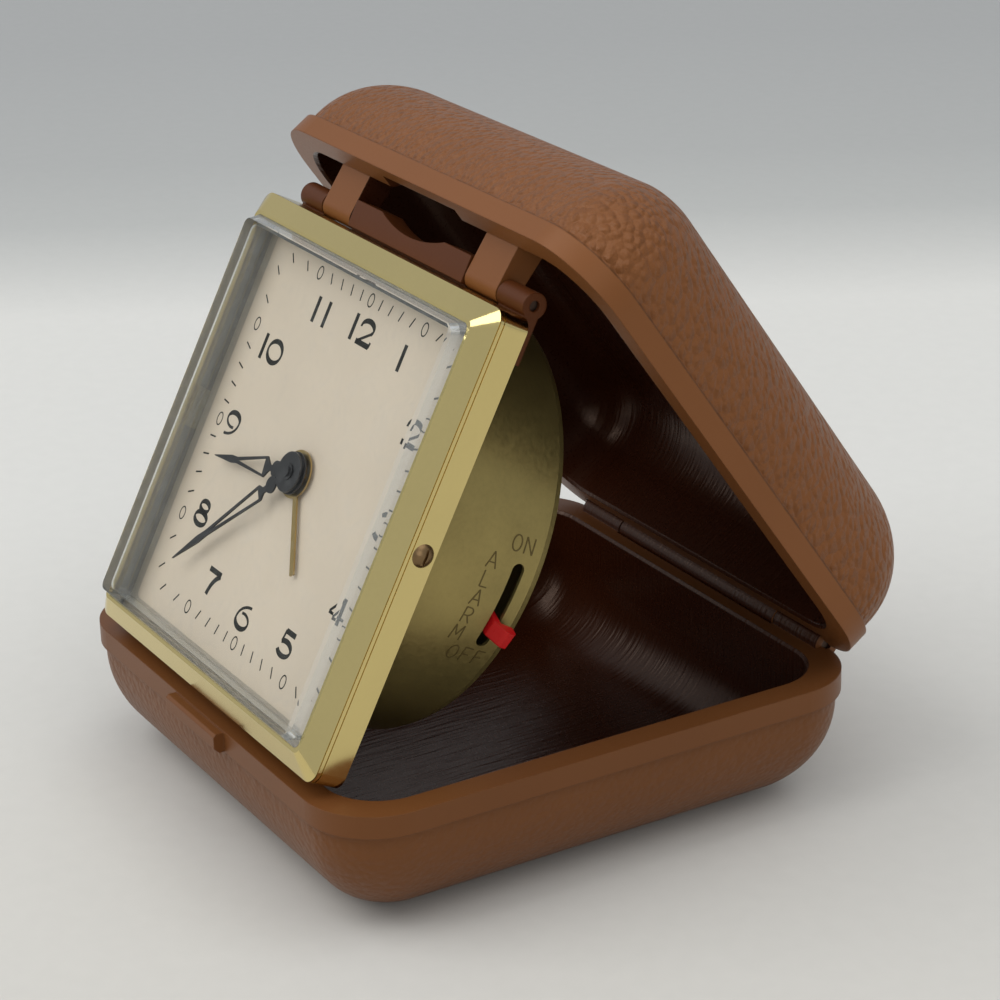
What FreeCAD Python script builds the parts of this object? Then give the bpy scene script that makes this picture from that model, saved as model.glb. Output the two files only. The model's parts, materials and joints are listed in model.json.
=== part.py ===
import FreeCAD, Part
import math
import os
import re
import Sketcher
from FreeCAD import Placement, Rotation, Vector

# A folding travel alarm clock. A brown moulded case opens like a clam shell,
# the lid leans back from the rear hinge, and the square clock hangs from the
# front edge of the lid with its lower edge standing on the rim of the base.
#
# World frame: +Z up, the dial looks to -Y and up, the hinges run along X.
# The origin is the centre of the flat underside of the base.
# Shell frame (base and lid): rim plane at Z = 0, the shell hangs below it.
# Clock frame: Z out of the dial, Y up the dial, origin at the dial's centre
# on the back edge of the bezel.

SIZES = (
    ("case_width", 83.0, "case, left to right at the rim"),
    ("case_depth", 83.2, "case, front to back at the rim"),
    ("shell_height", 19.1, "height of one half of the case"),
    ("rim_band", 3.2, "smooth band below the rim"),
    ("rim_step", 0.65, "how far the grained wall stands back from the band"),
    ("rim_corner", 10.5, "corner radius of the rim"),
    ("rim_land", 4.3, "width of the flat rim"),
    ("land_chamfer", 0.4, "broken inner edge of the flat rim"),
    ("round_start", 4.7, "depth below the rim where the wall starts to round"),
    ("round_inset", 13.5, "how far the rounding draws in"),
    ("round_corner_share", 0.6, "share of the inset that the corner radius loses"),
    ("cavity_straight", 8.0, "depth of the straight part of the hollow"),
    ("cavity_inset", 9.0, "how far the hollow draws in"),
    ("floor_thickness", 1.9, "wall at the flat bottom"),
    ("running_gap", 0.05, "radial clearance of pins and arbors"),
    ("part_gap", 0.3, "clearance between pieces that move apart"),
    ("seat_gap", 0.02, "clearance of pieces that are pressed together"),
    ("rear_axis_back", 0.4, "rear hinge axis behind the rear face"),
    ("bezel_half", 32.7, "half width of the square bezel"),
    ("rear_barrel", 2.0, "radius of the rear knuckles"),
    ("rear_pin", 0.8, "radius of the rear pin"),
    ("rear_half_length", 30.5, "half the length of the rear hinge"),
    ("rear_split", 20.0, "half the length of the lid's middle knuckle"),
    ("pin_recess", 0.5, "depth of a pin's end inside its knuckle"),
    ("tab_width", 15.0, "opening tab at the front of the base"),
    ("tab_stand", 1.5, "how far the tab stands out"),
    ("tab_height", 2.8, "height of the tab"),
    ("tab_drop", 0.3, "top of the tab below the rim"),
    ("notch_width", 17.0, "notch in the lid's front land, at its floor"),
    ("notch_depth", 1.2, "depth of the notch"),
    ("notch_reach", 2.4, "width of the notch across the land"),
    ("notch_slope", 2.2, "length of the notch's sloped ends"),
    ("pivot_inset", 7.8, "clock pivot behind the lid's front face"),
    ("pivot_drop", 4.7, "clock pivot beyond the lid's rim plane"),
    ("pivot_above", 1.7, "clock pivot above the bezel's top"),
    ("pivot_rise", "=bezel_half + pivot_above", "clock pivot above the dial's centre"),
    ("pivot_back", 1.2, "clock pivot behind the bezel's back edge"),
    ("stand_inset", 4.33, "bezel's lower back edge behind the base's front face"),
    ("stand_rise", 0.51, "bezel's lower back edge above the base's rim"),
    ("stand_run", "=case_depth + rear_axis_back - stand_inset",
     "bezel's lower edge in front of the rear axis"),
    ("lid_run", "=case_depth + rear_axis_back - pivot_inset", "clock pivot from the rear axis along the lid"),
    ("dial_run", "=pivot_rise + bezel_half", "clock pivot from the bezel's lower edge"),
    ("stand_side", "=sqrt(stand_run^2 + stand_rise^2)", "bottom side of the standing triangle"),
    ("lid_side", "=sqrt(lid_run^2 + pivot_drop^2)", "rear side of the standing triangle"),
    ("dial_side", "=sqrt(dial_run^2 + pivot_back^2)", "front side of the standing triangle"),
    ("rear_corner", "=acos((lid_side^2 + stand_side^2 - dial_side^2) / (2 * lid_side * stand_side))",
     "rear corner of the triangle, degrees"),
    ("front_corner", "=acos((dial_side^2 + stand_side^2 - lid_side^2) / (2 * dial_side * stand_side))",
     "front corner of the triangle, degrees"),
    ("lid_angle", "=rear_corner + atan(stand_rise / stand_run) + atan(pivot_drop / lid_run)",
     "lid above the horizontal, degrees"),
    ("dial_lean", "=front_corner - atan(stand_rise / stand_run) + atan(pivot_back / dial_run)",
     "dial above the horizontal, degrees"),
    ("knuckle_radius", 1.8, "radius of the clock's knuckles"),
    ("clock_pin", 0.7, "radius of the clock's hinge pin"),
    ("knuckle_inset", 2.4, "side knuckles inside the bezel's side"),
    ("knuckle_outer", "=bezel_half - knuckle_inset", "outer end of the side knuckles"),
    ("arm_outer", 23.6, "outer side of a lid arm"),
    ("arm_inner", 15.8, "inner side of a lid arm"),
    ("arm_root", 8.0, "depth of the arm's root in the lid"),
    ("arm_thickness", 2.4, "thickness of a lid arm"),
    ("strap_turn", 20.0, "direction in which an arm's strap meets its eye, degrees"),
    ("bracket_thickness", 2.4, "bracket plate behind the bezel"),
    ("bracket_reach", 6.2, "bracket plate below the bezel's top"),
    ("bracket_low", "=bezel_half - bracket_reach", "lower edge of the bracket above the dial's centre"),
    ("bracket_lip", 2.4, "rise of the middle knuckle above the pin"),
    ("scallop_width", 17.0, "thumb scallop in the middle knuckle"),
    ("scallop_depth", 1.5, "depth of the scallop"),
    ("bracket_screw_inset", 7.7, "bracket screws inside the bezel's side"),
    ("bracket_screw_x", "=bezel_half - bracket_screw_inset", "bracket screws beside the centre"),
    ("bracket_screw_drop", 3.5, "bracket screws below the bezel's top"),
    ("bracket_screw_y", "=bezel_half - bracket_screw_drop", "bracket screws above the centre"),
    ("bezel_corner", 2.0, "corner radius of the bezel"),
    ("bezel_side", 4.5, "height of the bezel's side"),
    ("bezel_front", 6.55, "front lip of the bezel"),
    ("bezel_slope", 3.3, "width of the bezel's front with its lip"),
    ("bezel_lip_half", "=bezel_half - bezel_slope", "half width of the bezel's opening"),
    ("bezel_lip", 0.5, "flat edge round the opening"),
    ("bezel_wall", 0.6, "thickness of the bezel"),
    ("bezel_bead", 0.5, "width of the bead behind the front arris"),
    ("bezel_groove", 0.15, "width of the fine grooves beside the bead"),
    ("bezel_groove_depth", 0.25, "depth of the grooves"),
    ("crystal_front", 8.5, "outside of the crystal"),
    ("crystal_draft", 0.9, "how far the crystal's sides lean in"),
    ("crystal_wall", 1.0, "thickness of the crystal"),
    ("dial_gap", 1.0, "dial and crystal flange inside the bezel's wall"),
    ("crystal_flange", "=bezel_half - bezel_wall - dial_gap", "half width of the crystal's flange"),
    ("crystal_flange_height", 1.6, "thickness of the flange"),
    ("crystal_corner", 1.0, "corner radius of the crystal"),
    ("dial_half", "=bezel_half - bezel_wall - dial_gap", "half width of the dial plate"),
    ("dial_front", 2.5, "front of the dial"),
    ("dial_thickness", 0.4, "thickness of the dial"),
    ("dial_hole", 2.6, "hole for the hands"),
    ("dial_foot", 0.6, "radius of the dial's feet"),
    ("dial_foot_x", 20.0, "feet beside the centre"),
    ("dial_foot_length", 3.6, "length of the feet"),
    ("flange_gap", 0.2, "drum's flange inside the bezel's wall"),
    ("flange_half", "=bezel_half - bezel_wall - flange_gap", "half width of the drum's square flange"),
    ("flange_thickness", 0.6, "thickness of the flange"),
    ("lug_height", 3.2, "height of the side lugs"),
    ("lug_half", 3.0, "half width of the side lugs"),
    ("side_screw_level", 1.95, "side screws in front of the bezel's back edge"),
    ("side_screw", 0.6, "radius of the side screws"),
    ("side_screw_head", 1.6, "head radius of the side screws"),
    ("side_screw_dome", 0.8, "head height of the side screws"),
    ("side_screw_length", 1.5, "shank of the side screws"),
    ("screw_slot", 0.4, "width of a screw's slot"),
    ("drum_inset", 1.6, "drum inside the bezel's side"),
    ("drum_radius", "=bezel_half - drum_inset", "outside of the drum"),
    ("drum_depth", 18.5, "drum behind the bezel's back edge"),
    ("drum_wall", 0.5, "thickness of the drum"),
    ("drum_round", 1.5, "rounded back edge of the drum"),
    ("ledge_width", 1.3, "ledge that carries the movement"),
    ("ledge_height", 1.2, "thickness of the ledge"),
    ("slot_level", 14.2, "middle of the alarm slot behind the bezel"),
    ("slot_width", 1.9, "width of the alarm slot"),
    ("slot_top_angle", 4.2, "upper end of the alarm slot, degrees"),
    ("slot_low_angle", -18.8, "lower end of the alarm slot, degrees"),
    ("plate_thickness", 1.2, "thickness of the movement's plates"),
    ("plate_gap", 9.8, "room between the plates"),
    ("plate_rim_gap", 0.3, "front plate inside the drum's wall"),
    ("front_plate", "=drum_radius - drum_wall - plate_rim_gap", "radius of the front plate"),
    ("back_plate", 23.5, "radius of the back plate"),
    ("spacer_hole", 24.0, "hole in the dial's spacer"),
    ("pillar_radius", 1.5, "radius of the pillars"),
    ("pillar_circle", 21.5, "pillars from the centre"),
    ("pillar_angle_one", 35.0, "first pillar, degrees"),
    ("pillar_angle_two", 155.0, "second pillar, degrees"),
    ("pillar_angle_three", 270.0, "third pillar, degrees"),
    ("plate_screw", 0.7, "radius of the plate screws"),
    ("plate_screw_head", 1.6, "head radius of the plate screws"),
    ("plate_screw_head_height", 0.9, "head height of the plate screws"),
    ("plate_screw_length", 4.0, "shank of the plate screws"),
    ("arbor", 0.6, "radius of a wheel's arbor"),
    ("pivot", 0.35, "radius of an arbor's pivots"),
    ("pivot_reach", 0.9, "how far a pivot goes into its plate"),
    ("shoulder_gap", 0.15, "end play of the arbors"),
    ("wheel_thickness", 0.5, "thickness of a train wheel"),
    ("centre_arbor", 0.7, "radius of the centre arbor"),
    ("centre_module", 0.25, "module of the centre wheel"),
    ("centre_teeth", 64, "teeth of the centre wheel"),
    ("centre_leaves", 10, "leaves of the centre pinion"),
    ("centre_level", 2.9, "back of the centre wheel behind the bezel"),
    ("great_module", 0.32, "module of the time great wheel"),
    ("great_teeth", 60, "teeth of the time great wheel"),
    ("great_angle", 215.0, "direction of the time great wheel, degrees"),
    ("great_level", 7.3, "back of the great wheels behind the bezel"),
    ("great_thickness", 0.8, "thickness of the great wheels"),
    ("spring_height", 2.6, "width of the mainspring ribbons"),
    ("spring_level", 10.5, "back of the mainsprings behind the bezel"),
    ("ribbon", 0.25, "thickness of a mainspring ribbon"),
    ("time_spring", 9.0, "outer radius of the time mainspring"),
    ("alarm_spring", 7.8, "outer radius of the alarm mainspring"),
    ("spring_turns", 7, "turns of a mainspring"),
    ("winding_arbor", 1.1, "radius of the winding arbors"),
    ("spring_core", 1.9, "radius of the winding arbors inside the springs"),
    ("third_module", 0.22, "module of the third wheel"),
    ("third_teeth", 60, "teeth of the third wheel"),
    ("train_leaves", 8, "leaves of the third, fourth, escape and star pinions"),
    ("third_angle", 75.0, "direction of the third wheel, degrees"),
    ("third_level", 4.8, "back of the third wheel behind the bezel"),
    ("fourth_module", 0.2, "module of the fourth wheel"),
    ("fourth_teeth", 64, "teeth of the fourth wheel"),
    ("fourth_angle", -10.0, "direction from third to fourth, degrees"),
    ("fourth_level", 6.8, "back of the fourth wheel behind the bezel"),
    ("escape_angle", 100.0, "direction from fourth to escape, degrees"),
    ("escape_level", 9.2, "back of the escape wheel behind the bezel"),
    ("escape_radius", 3.2, "tip radius of the escape wheel"),
    ("escape_teeth", 15, "teeth of the escape wheel"),
    ("tooth_tip", 0.1, "width of a pointed tooth at its tip"),
    ("tooth_root", 0.5, "width of a pointed tooth at its root"),
    ("tooth_height", 0.9, "height of a pointed tooth"),
    ("pallet_distance", 4.6, "pallet arbor from the escape wheel"),
    ("pallet_angle", 160.0, "direction from escape to pallet, degrees"),
    ("pallet_spread", 30.0, "each pallet pin off the line of centres, degrees"),
    ("pallet_pin", 0.12, "radius of the pallet pins"),
    ("pallet_pin_gap", 0.05, "pallet pins off the tooth tips at rest"),
    ("pallet_level", 8.5, "back of the pallet lever behind the bezel"),
    ("pallet_thickness", 0.3, "thickness of the pallet lever"),
    ("pallet_width", 0.7, "width of the pallet lever"),
    ("balance_distance", 7.0, "balance from the pallet arbor"),
    ("balance_angle", 180.0, "direction from pallet to balance, degrees"),
    ("balance_radius", 5.5, "radius of the balance wheel"),
    ("balance_rim", 0.8, "width of the balance rim"),
    ("balance_level", 6.0, "back of the balance behind the bezel"),
    ("balance_thickness", 0.7, "thickness of the balance"),
    ("balance_staff", 0.45, "radius of the balance staff"),
    ("roller_distance", 1.5, "impulse pin from the balance staff"),
    ("roller_pin", 0.15, "radius of the impulse pin"),
    ("fork_gap", 0.06, "play of the impulse pin in the fork"),
    ("cup_screw", 1.0, "radius of the balance's cup screws"),
    ("cup_head", 0.6, "how far a cup screw stands outside its plate"),
    ("cup_reach", 0.5, "how far a cup screw stands inside its plate"),
    ("hairspring_radius", 3.0, "outer radius of the hairspring"),
    ("hairspring_inner", 0.75, "inner radius of the hairspring"),
    ("hairspring_turns", 6, "turns of the hairspring"),
    ("hairspring_ribbon", 0.1, "thickness of the hairspring"),
    ("hairspring_height", 0.4, "width of the hairspring"),
    ("hairspring_level", 10.3, "back of the hairspring behind the bezel"),
    ("hairspring_stud", 0.35, "radius of the hairspring stud"),
    ("regulator_reach", 8.0, "regulator finger from the balance staff"),
    ("regulator_angle", 101.0, "direction of the regulator, degrees"),
    ("regulator_eye", 2.2, "radius of the regulator's eye"),
    ("regulator_width", 1.4, "width of the regulator's arm"),
    ("regulator_thickness", 0.5, "thickness of the regulator"),
    ("regulator_finger", 0.6, "radius of the regulator's finger"),
    ("regulator_sweep", 15.0, "regulator travel each way, degrees"),
    ("finger_stand", 0.4, "finger outside the drum's back"),
    ("motion_module", 0.25, "module of the cannon pinion and minute wheel"),
    ("cannon_leaves", 12, "leaves of the cannon pinion"),
    ("minute_teeth", 36, "teeth of the minute wheel"),
    ("minute_leaves", 10, "leaves of the minute pinion"),
    ("hour_teeth", 40, "teeth of the hour wheel"),
    ("minute_angle", 200.0, "direction of the minute wheel, degrees"),
    ("minute_stud", 0.5, "radius of the minute wheel's stud"),
    ("minute_stud_height", 1.3, "height of the minute wheel's stud"),
    ("motion_thickness", 0.4, "thickness of the motion wheels"),
    ("cannon_level", 0.15, "foot of the cannon pinion before the plate"),
    ("hour_level", 0.75, "foot of the hour wheel before the plate"),
    ("alarm_level", 1.5, "foot of the alarm wheel before the plate"),
    ("cannon_pipe", 1.15, "outer radius of the cannon pipe"),
    ("cannon_top", 4.75, "top of the cannon pipe"),
    ("arbor_top", 4.95, "front end of the centre arbor"),
    ("hour_pipe", 1.75, "outer radius of the hour pipe"),
    ("hour_top", 4.0, "top of the hour pipe"),
    ("alarm_pipe", 2.35, "outer radius of the alarm pipe"),
    ("alarm_top", 3.35, "top of the alarm pipe"),
    ("alarm_module", 0.27, "module of the alarm wheel"),
    ("alarm_teeth", 60, "teeth of the alarm wheel"),
    ("setting_leaves", 10, "leaves of the setting pinion"),
    ("setting_angle", 135.0, "direction of the alarm setting arbor, degrees"),
    ("pipe_gap", 0.1, "clearance between the pipes of the hands"),
    ("hand_thickness", 0.25, "thickness of a hand"),
    ("hand_lobe", 1.2, "radius of the lobe between hub and neck"),
    ("hand_rail", 0.38, "width of a hand's rails"),
    ("hand_tip", 0.9, "width of a hand where its rails meet"),
    ("minute_hand_level", 4.3, "back of the minute hand"),
    ("minute_hand_length", 28.0, "minute hand from the centre"),
    ("minute_neck", 6.6, "end of the minute hand's neck"),
    ("minute_rails", 19.7, "where the minute hand's rails meet"),
    ("minute_hand_width", 2.4, "minute hand at its widest"),
    ("minute_hub", 2.85, "hub radius of the minute hand"),
    ("minute_hand_turn", 225.0, "minute hand clockwise from twelve, degrees"),
    ("hour_hand_level", 3.65, "back of the hour hand"),
    ("hour_hand_length", 20.8, "hour hand from the centre"),
    ("hour_neck", 7.0, "end of the hour hand's neck"),
    ("hour_rails", 14.7, "where the hour hand's rails meet"),
    ("hour_hand_width", 3.0, "hour hand at its widest"),
    ("hour_hub", 3.0, "hub radius of the hour hand"),
    ("hour_hand_turn", 258.75, "hour hand clockwise from twelve, degrees"),
    ("alarm_hand_level", 3.0, "back of the alarm hand"),
    ("alarm_hand_length", 14.5, "alarm hand from the centre"),
    ("alarm_hand_width", 0.9, "width of the alarm hand"),
    ("alarm_hub", 3.4, "hub radius of the alarm hand"),
    ("alarm_hand_turn", 145.6, "alarm hand clockwise from twelve, degrees"),
    ("alarm_great_module", 0.3, "module of the alarm great wheel"),
    ("alarm_great_teeth", 54, "teeth of the alarm great wheel"),
    ("alarm_great_distance", 12.75, "alarm great wheel from the centre"),
    ("alarm_great_angle", -41.8, "direction of the alarm great wheel, degrees"),
    ("star_angle", 45.0, "direction from alarm great wheel to star wheel, degrees"),
    ("star_radius", 3.6, "tip radius of the star wheel"),
    ("star_teeth", 12, "teeth of the star wheel"),
    ("star_level", 4.4, "back of the star wheel behind the bezel"),
    ("verge_distance", 5.0, "hammer arbor from the star wheel"),
    ("verge_angle", -60.0, "direction from star wheel to hammer arbor, degrees"),
    ("verge_spread", 30.0, "each verge pin off the line of centres, degrees"),
    ("verge_pin", 0.2, "radius of the verge pins"),
    ("verge_pin_gap", 0.08, "verge pins off the star's tips"),
    ("hammer_angle", -62.0, "direction of the hammer's arm, degrees"),
    ("hammer_length", 10.0, "hammer head from its arbor"),
    ("hammer_head", 1.3, "radius of the hammer head"),
    ("hammer_head_height", 2.0, "height of the hammer head"),
    ("hammer_width", 0.9, "width of the hammer's arm"),
    ("hammer_thickness", 0.6, "thickness of the hammer's arm"),
    ("shutoff_distance", 18.0, "shut-off lever's stud from the centre"),
    ("shutoff_stud", 0.9, "radius of the shut-off lever's stud"),
    ("shutoff_eye", 2.2, "radius of the shut-off lever's eye"),
    ("shutoff_width", 2.4, "width of the shut-off lever"),
    ("shutoff_thickness", 1.1, "thickness of the shut-off lever"),
    ("shutoff_tip", 2.8, "how far the lever stands out of the drum"),
    ("shutoff_drop", 1.5, "how far the lever's tip leans back"),
    ("shutoff_tab", 1.7, "thickness of the lever's tip"),
    ("shutoff_bend", 0.7, "where the lever bends, outside the drum"),
    ("shutoff_angle", -12.8, "lever round the drum at rest, degrees"),
    ("key_length", 13.6, "span of a winding key"),
    ("key_height", 3.9, "height of a winding key"),
    ("key_thickness", 1.3, "thickness of a key's wings"),
    ("key_hub", 2.1, "radius of a key's hub"),
    ("key_gap", 0.4, "keys and knobs behind the drum's back"),
    ("knob_radius", 3.4, "radius of the setting knobs"),
    ("knob_height", 2.6, "height of the setting knobs"),
    ("knob_ribs", 18, "ribs round a setting knob"),
    ("knob_rib", 0.3, "radius of the grooves between the ribs"),
    ("key_hole_gap", 0.5, "clearance round the arbors in the drum's back"),
    ("overrun", 1.0, "how far a cutting tool reaches past the surface"),
)

doc = FreeCAD.newDocument("travel_alarm_clock")
sheet = doc.addObject("Spreadsheet::Sheet", "sizes")
for row, (alias, number, note) in enumerate(SIZES, start=1):
    sheet.set("A%d" % row, alias)
    sheet.set("B%d" % row, str(number))
    sheet.set("C%d" % row, note)
    sheet.setAlias("B%d" % row, alias)
doc.recompute()

ALIASES = {alias for alias, number, note in SIZES}
WORD = re.compile(r"[a-z_]+")


def bound(formula):
    """The formula with each named size written as a cell of the sheet."""
    return WORD.sub(lambda word: "sizes." + word.group() if word.group() in ALIASES else word.group(),
                    formula)


def value(formula):
    """The number that a formula of named sizes stands for."""
    return float(sheet.evalExpression(bound(formula)))


def bind(thing, bindings):
    """Binds each property of a thing to its formula."""
    for name, formula in bindings.items():
        thing.setExpression(name, bound(formula))


def place(thing, x, y, z):
    """Puts a thing at a point given in formulas."""
    bind(thing, {"Placement.Base.x": x, "Placement.Base.y": y, "Placement.Base.z": z})
    return thing


# Primitives and booleans

def block(name, low, high):
    """A box between two opposite corners, given in formulas."""
    box = doc.addObject("Part::Box", name)
    spans = ["(%s) - (%s)" % (top, bottom) for bottom, top in zip(low, high)]
    bind(box, dict(zip(("Length", "Width", "Height"), spans)))
    return place(box, *low)


def rod(name, radius, low, high, x="0", y="0", along="Z"):
    """A cylinder from low to high along an axis, at x and y across it."""
    cylinder = doc.addObject("Part::Cylinder", name)
    bind(cylinder, {"Radius": radius, "Height": "(%s) - (%s)" % (high, low)})
    if along == "X":
        cylinder.Placement.Rotation = Rotation(Vector(0, 1, 0), 90)
        return place(cylinder, low, x, y)
    return place(cylinder, x, y, low)


def fuse(name, *parts):
    """One solid out of several."""
    union = doc.addObject("Part::MultiFuse", name)
    union.Shapes = list(parts)
    return union


def cut(name, base, *tools):
    """The base with every tool taken away."""
    result = doc.addObject("Part::Cut", name)
    result.Base = base
    result.Tool = tools[0] if len(tools) == 1 else fuse(name + "_tools", *tools)
    return result


def turn_about(name, thing, angle, x="0", y="0"):
    """The thing turned about Z by an angle in degrees and moved to x and y."""
    holder = doc.addObject("Part::Compound", name)
    holder.Links = [thing]
    holder.Placement = Placement(Vector(0, 0, 0), Rotation(Vector(0, 0, 1), value(angle)))
    return place(holder, x, y, "0")


# Sketched bodies

def sketch_on(body, name, role, level):
    """An empty sketch on one of the body's own planes, moved along its normal."""
    plane = [feature for feature in body.Origin.OriginFeatures if feature.Role == role][0]
    sketch = body.newObject("Sketcher::SketchObject", name)
    sketch.AttachmentSupport = [(plane, "")]
    sketch.MapMode = "FlatFace"
    bind(sketch, {"AttachmentOffset.Base.z": level})
    return sketch


def measure(sketch, kind, formula, *points):
    """A dimension of a sketch, bound to its formula."""
    index = sketch.addConstraint(Sketcher.Constraint(kind, *points, value(formula)))
    bind(sketch, {"Constraints[%d]" % index: formula})


def add_circle(sketch, radius, x="0", y="0"):
    """A circle whose radius and centre are dimensions."""
    circle = Part.Circle(Vector(value(x), value(y), 0), Vector(0, 0, 1), value(radius))
    index = sketch.addGeometry(circle, False)
    measure(sketch, "Radius", radius, index)
    measure(sketch, "DistanceX", x, -1, 1, index, 3)
    measure(sketch, "DistanceY", y, -1, 1, index, 3)


def add_polygon(sketch, points):
    """A closed outline whose every corner is dimensioned from the origin."""
    corners = [Vector(value(x), value(y), 0) for x, y in points]
    first = sketch.GeometryCount
    count = len(corners)
    for index in range(count):
        sketch.addGeometry(Part.LineSegment(corners[index], corners[(index + 1) % count]), False)
    for index in range(count):
        following = first + (index + 1) % count
        sketch.addConstraint(Sketcher.Constraint("Coincident", first + index, 2, following, 1))
    for index, (x, y) in enumerate(points):
        measure(sketch, "DistanceX", x, -1, 1, first + index, 1)
        measure(sketch, "DistanceY", y, -1, 1, first + index, 1)


def add_rounded_rectangle(sketch, half_x, half_y, corner):
    """A rectangle round the origin with four equal tangent corner arcs."""
    across, along, radius = value(half_x), value(half_y), value(corner)
    quarters = ((1, 1), (-1, 1), (-1, -1), (1, -1))
    ends = []
    for index, (side_x, side_y) in enumerate(quarters):
        centre = Vector(side_x * (across - radius), side_y * (along - radius), 0)
        arc = Part.ArcOfCircle(Part.Circle(centre, Vector(0, 0, 1), radius),
                               math.radians(90 * index), math.radians(90 * index + 90))
        sketch.addGeometry(arc, False)
        ends.append((arc.StartPoint, arc.EndPoint))
    for index in range(4):
        sketch.addGeometry(Part.LineSegment(ends[index][1], ends[(index + 1) % 4][0]), False)
    for index in range(4):
        line = 4 + index
        sketch.addConstraint(Sketcher.Constraint("Tangent", index, 2, line, 1))
        sketch.addConstraint(Sketcher.Constraint("Tangent", line, 2, (index + 1) % 4, 1))
        sketch.addConstraint(Sketcher.Constraint("Vertical" if index % 2 else "Horizontal", line))
    for index in range(1, 4):
        sketch.addConstraint(Sketcher.Constraint("Equal", 0, index))
    sketch.addConstraint(Sketcher.Constraint("Symmetric", 0, 3, 2, 3, -1, 1))
    measure(sketch, "DistanceX", "(%s) - (%s)" % (half_x, corner), -1, 1, 0, 3)
    measure(sketch, "DistanceY", "(%s) - (%s)" % (half_y, corner), -1, 1, 0, 3)
    measure(sketch, "Radius", corner, 0)


def rounded_sketch(body, name, level, half_x, half_y, corner):
    """A rounded rectangle at a level of the body."""
    sketch = sketch_on(body, name, "XY_Plane", level)
    add_rounded_rectangle(sketch, half_x, half_y, corner)
    return sketch


def extrude(body, kind, sketch, length, downwards=False):
    """A pad or a pocket of the sketch."""
    feature = body.newObject("PartDesign::" + kind, sketch.Name + "_" + kind)
    feature.Profile = sketch
    bind(feature, {"Length": length})
    feature.Reversed = downwards if kind == "Pad" else not downwards
    return feature


def loft(body, kind, sketches):
    """A smooth or straight transition through sketches."""
    feature = body.newObject("PartDesign::" + kind, sketches[0].Name + "_" + kind)
    feature.Profile = sketches[0]
    feature.Sections = sketches[1:]
    feature.Ruled = len(sketches) == 2
    return feature


def turned(name, points):
    """A body turned about Z from an outline of radius and height."""
    body = doc.addObject("PartDesign::Body", name)
    sketch = sketch_on(body, name + "_outline", "XZ_Plane", "0")
    add_polygon(sketch, points)
    revolution = body.newObject("PartDesign::Revolution", name + "_turn")
    revolution.Profile = sketch
    revolution.ReferenceAxis = (sketch, ["V_Axis"])
    revolution.Angle = 360
    return body


def sheet_part(name, level, thickness, outline, holes=()):
    """A flat body: an outline with round holes, thick in +Z from its level."""
    body = doc.addObject("PartDesign::Body", name)
    sketch = sketch_on(body, name + "_outline", "XY_Plane", level)
    outline(sketch)
    for radius, x, y in holes:
        add_circle(sketch, radius, x, y)
    extrude(body, "Pad", sketch, thickness)
    return body


def prism(name, role, points, low, high):
    """A polygon on one of the origin planes, thick from low to high."""
    body = doc.addObject("PartDesign::Body", name)
    sketch = sketch_on(body, name + "_outline", role, low)
    add_polygon(sketch, points)
    extrude(body, "Pad", sketch, "(%s) - (%s)" % (high, low))
    return body


# Shapes that neither a sketch nor a primitive gives

def solid_of(name, shape):
    """A ready shape as an object of the document."""
    feature = doc.addObject("Part::Feature", name)
    feature.Shape = shape
    return feature


def polygon_prism(points, low, high):
    """A closed polygon of plain numbers, thick from low to high."""
    corners = [Vector(x, y, low) for x, y in points]
    wire = Part.makePolygon(corners + corners[:1])
    return Part.Face(wire).extrude(Vector(0, 0, high - low))


def bored(shape, holes, low, high):
    """The shape with round holes through it."""
    margin = value("overrun")
    for radius, x, y in holes:
        shape = shape.cut(Part.makeCylinder(radius, high - low + 2 * margin, Vector(x, y, low - margin)))
    return shape


TIP_SHARE, PITCH_SHARE, ROOT_SHARE = 0.16, 0.34, 0.42
ADDENDUM_SHARE, DEDENDUM_SHARE = 0.8, 1.05
LIGHTENING_HOLES = 5


def gear(name, module, teeth, low, high, bore, phase=0.0, lightened=False):
    """A toothed wheel: each tooth is narrow at its tip and wide at its root."""
    module, count = value(module), round(value(teeth))
    low, high, bore = value(low), value(high), value(bore)
    pitch = module * count / 2
    points = []
    for tooth in range(count):
        middle = math.radians(phase) + 2 * math.pi * tooth / count
        stations = ((pitch - DEDENDUM_SHARE * module, -ROOT_SHARE), (pitch, -PITCH_SHARE),
                    (pitch + ADDENDUM_SHARE * module, -TIP_SHARE),
                    (pitch + ADDENDUM_SHARE * module, TIP_SHARE),
                    (pitch, PITCH_SHARE), (pitch - DEDENDUM_SHARE * module, ROOT_SHARE))
        for radius, share in stations:
            angle = middle + share * math.pi / count
            points.append((radius * math.cos(angle), radius * math.sin(angle)))
    shape = polygon_prism(points, low, high)
    holes = [(bore, 0, 0)] if bore > 0 else []
    if lightened:
        reach = (pitch + bore) / 2
        for index in range(LIGHTENING_HOLES):
            angle = 2 * math.pi * index / LIGHTENING_HOLES
            holes.append(((pitch - bore) / 4, reach * math.cos(angle), reach * math.sin(angle)))
    return solid_of(name, bored(shape, holes, low, high))


def pointed_wheel(name, radius, teeth, low, high, phase):
    """A wheel with slender pointed teeth, as an escapement has."""
    tip_radius, count, low, high = value(radius), round(value(teeth)), value(low), value(high)
    root_radius = tip_radius - value("tooth_height")
    half_tip, half_root = value("tooth_tip / 2") / tip_radius, value("tooth_root / 2") / root_radius
    points = []
    for tooth in range(count):
        middle = math.radians(phase) + 2 * math.pi * tooth / count
        for reach, offset in ((root_radius, -half_root), (tip_radius, -half_tip),
                              (tip_radius, half_tip), (root_radius, half_root)):
            points.append((reach * math.cos(middle + offset), reach * math.sin(middle + offset)))
    return solid_of(name, polygon_prism(points, low, high))


STEPS_PER_TURN = 24


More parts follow.
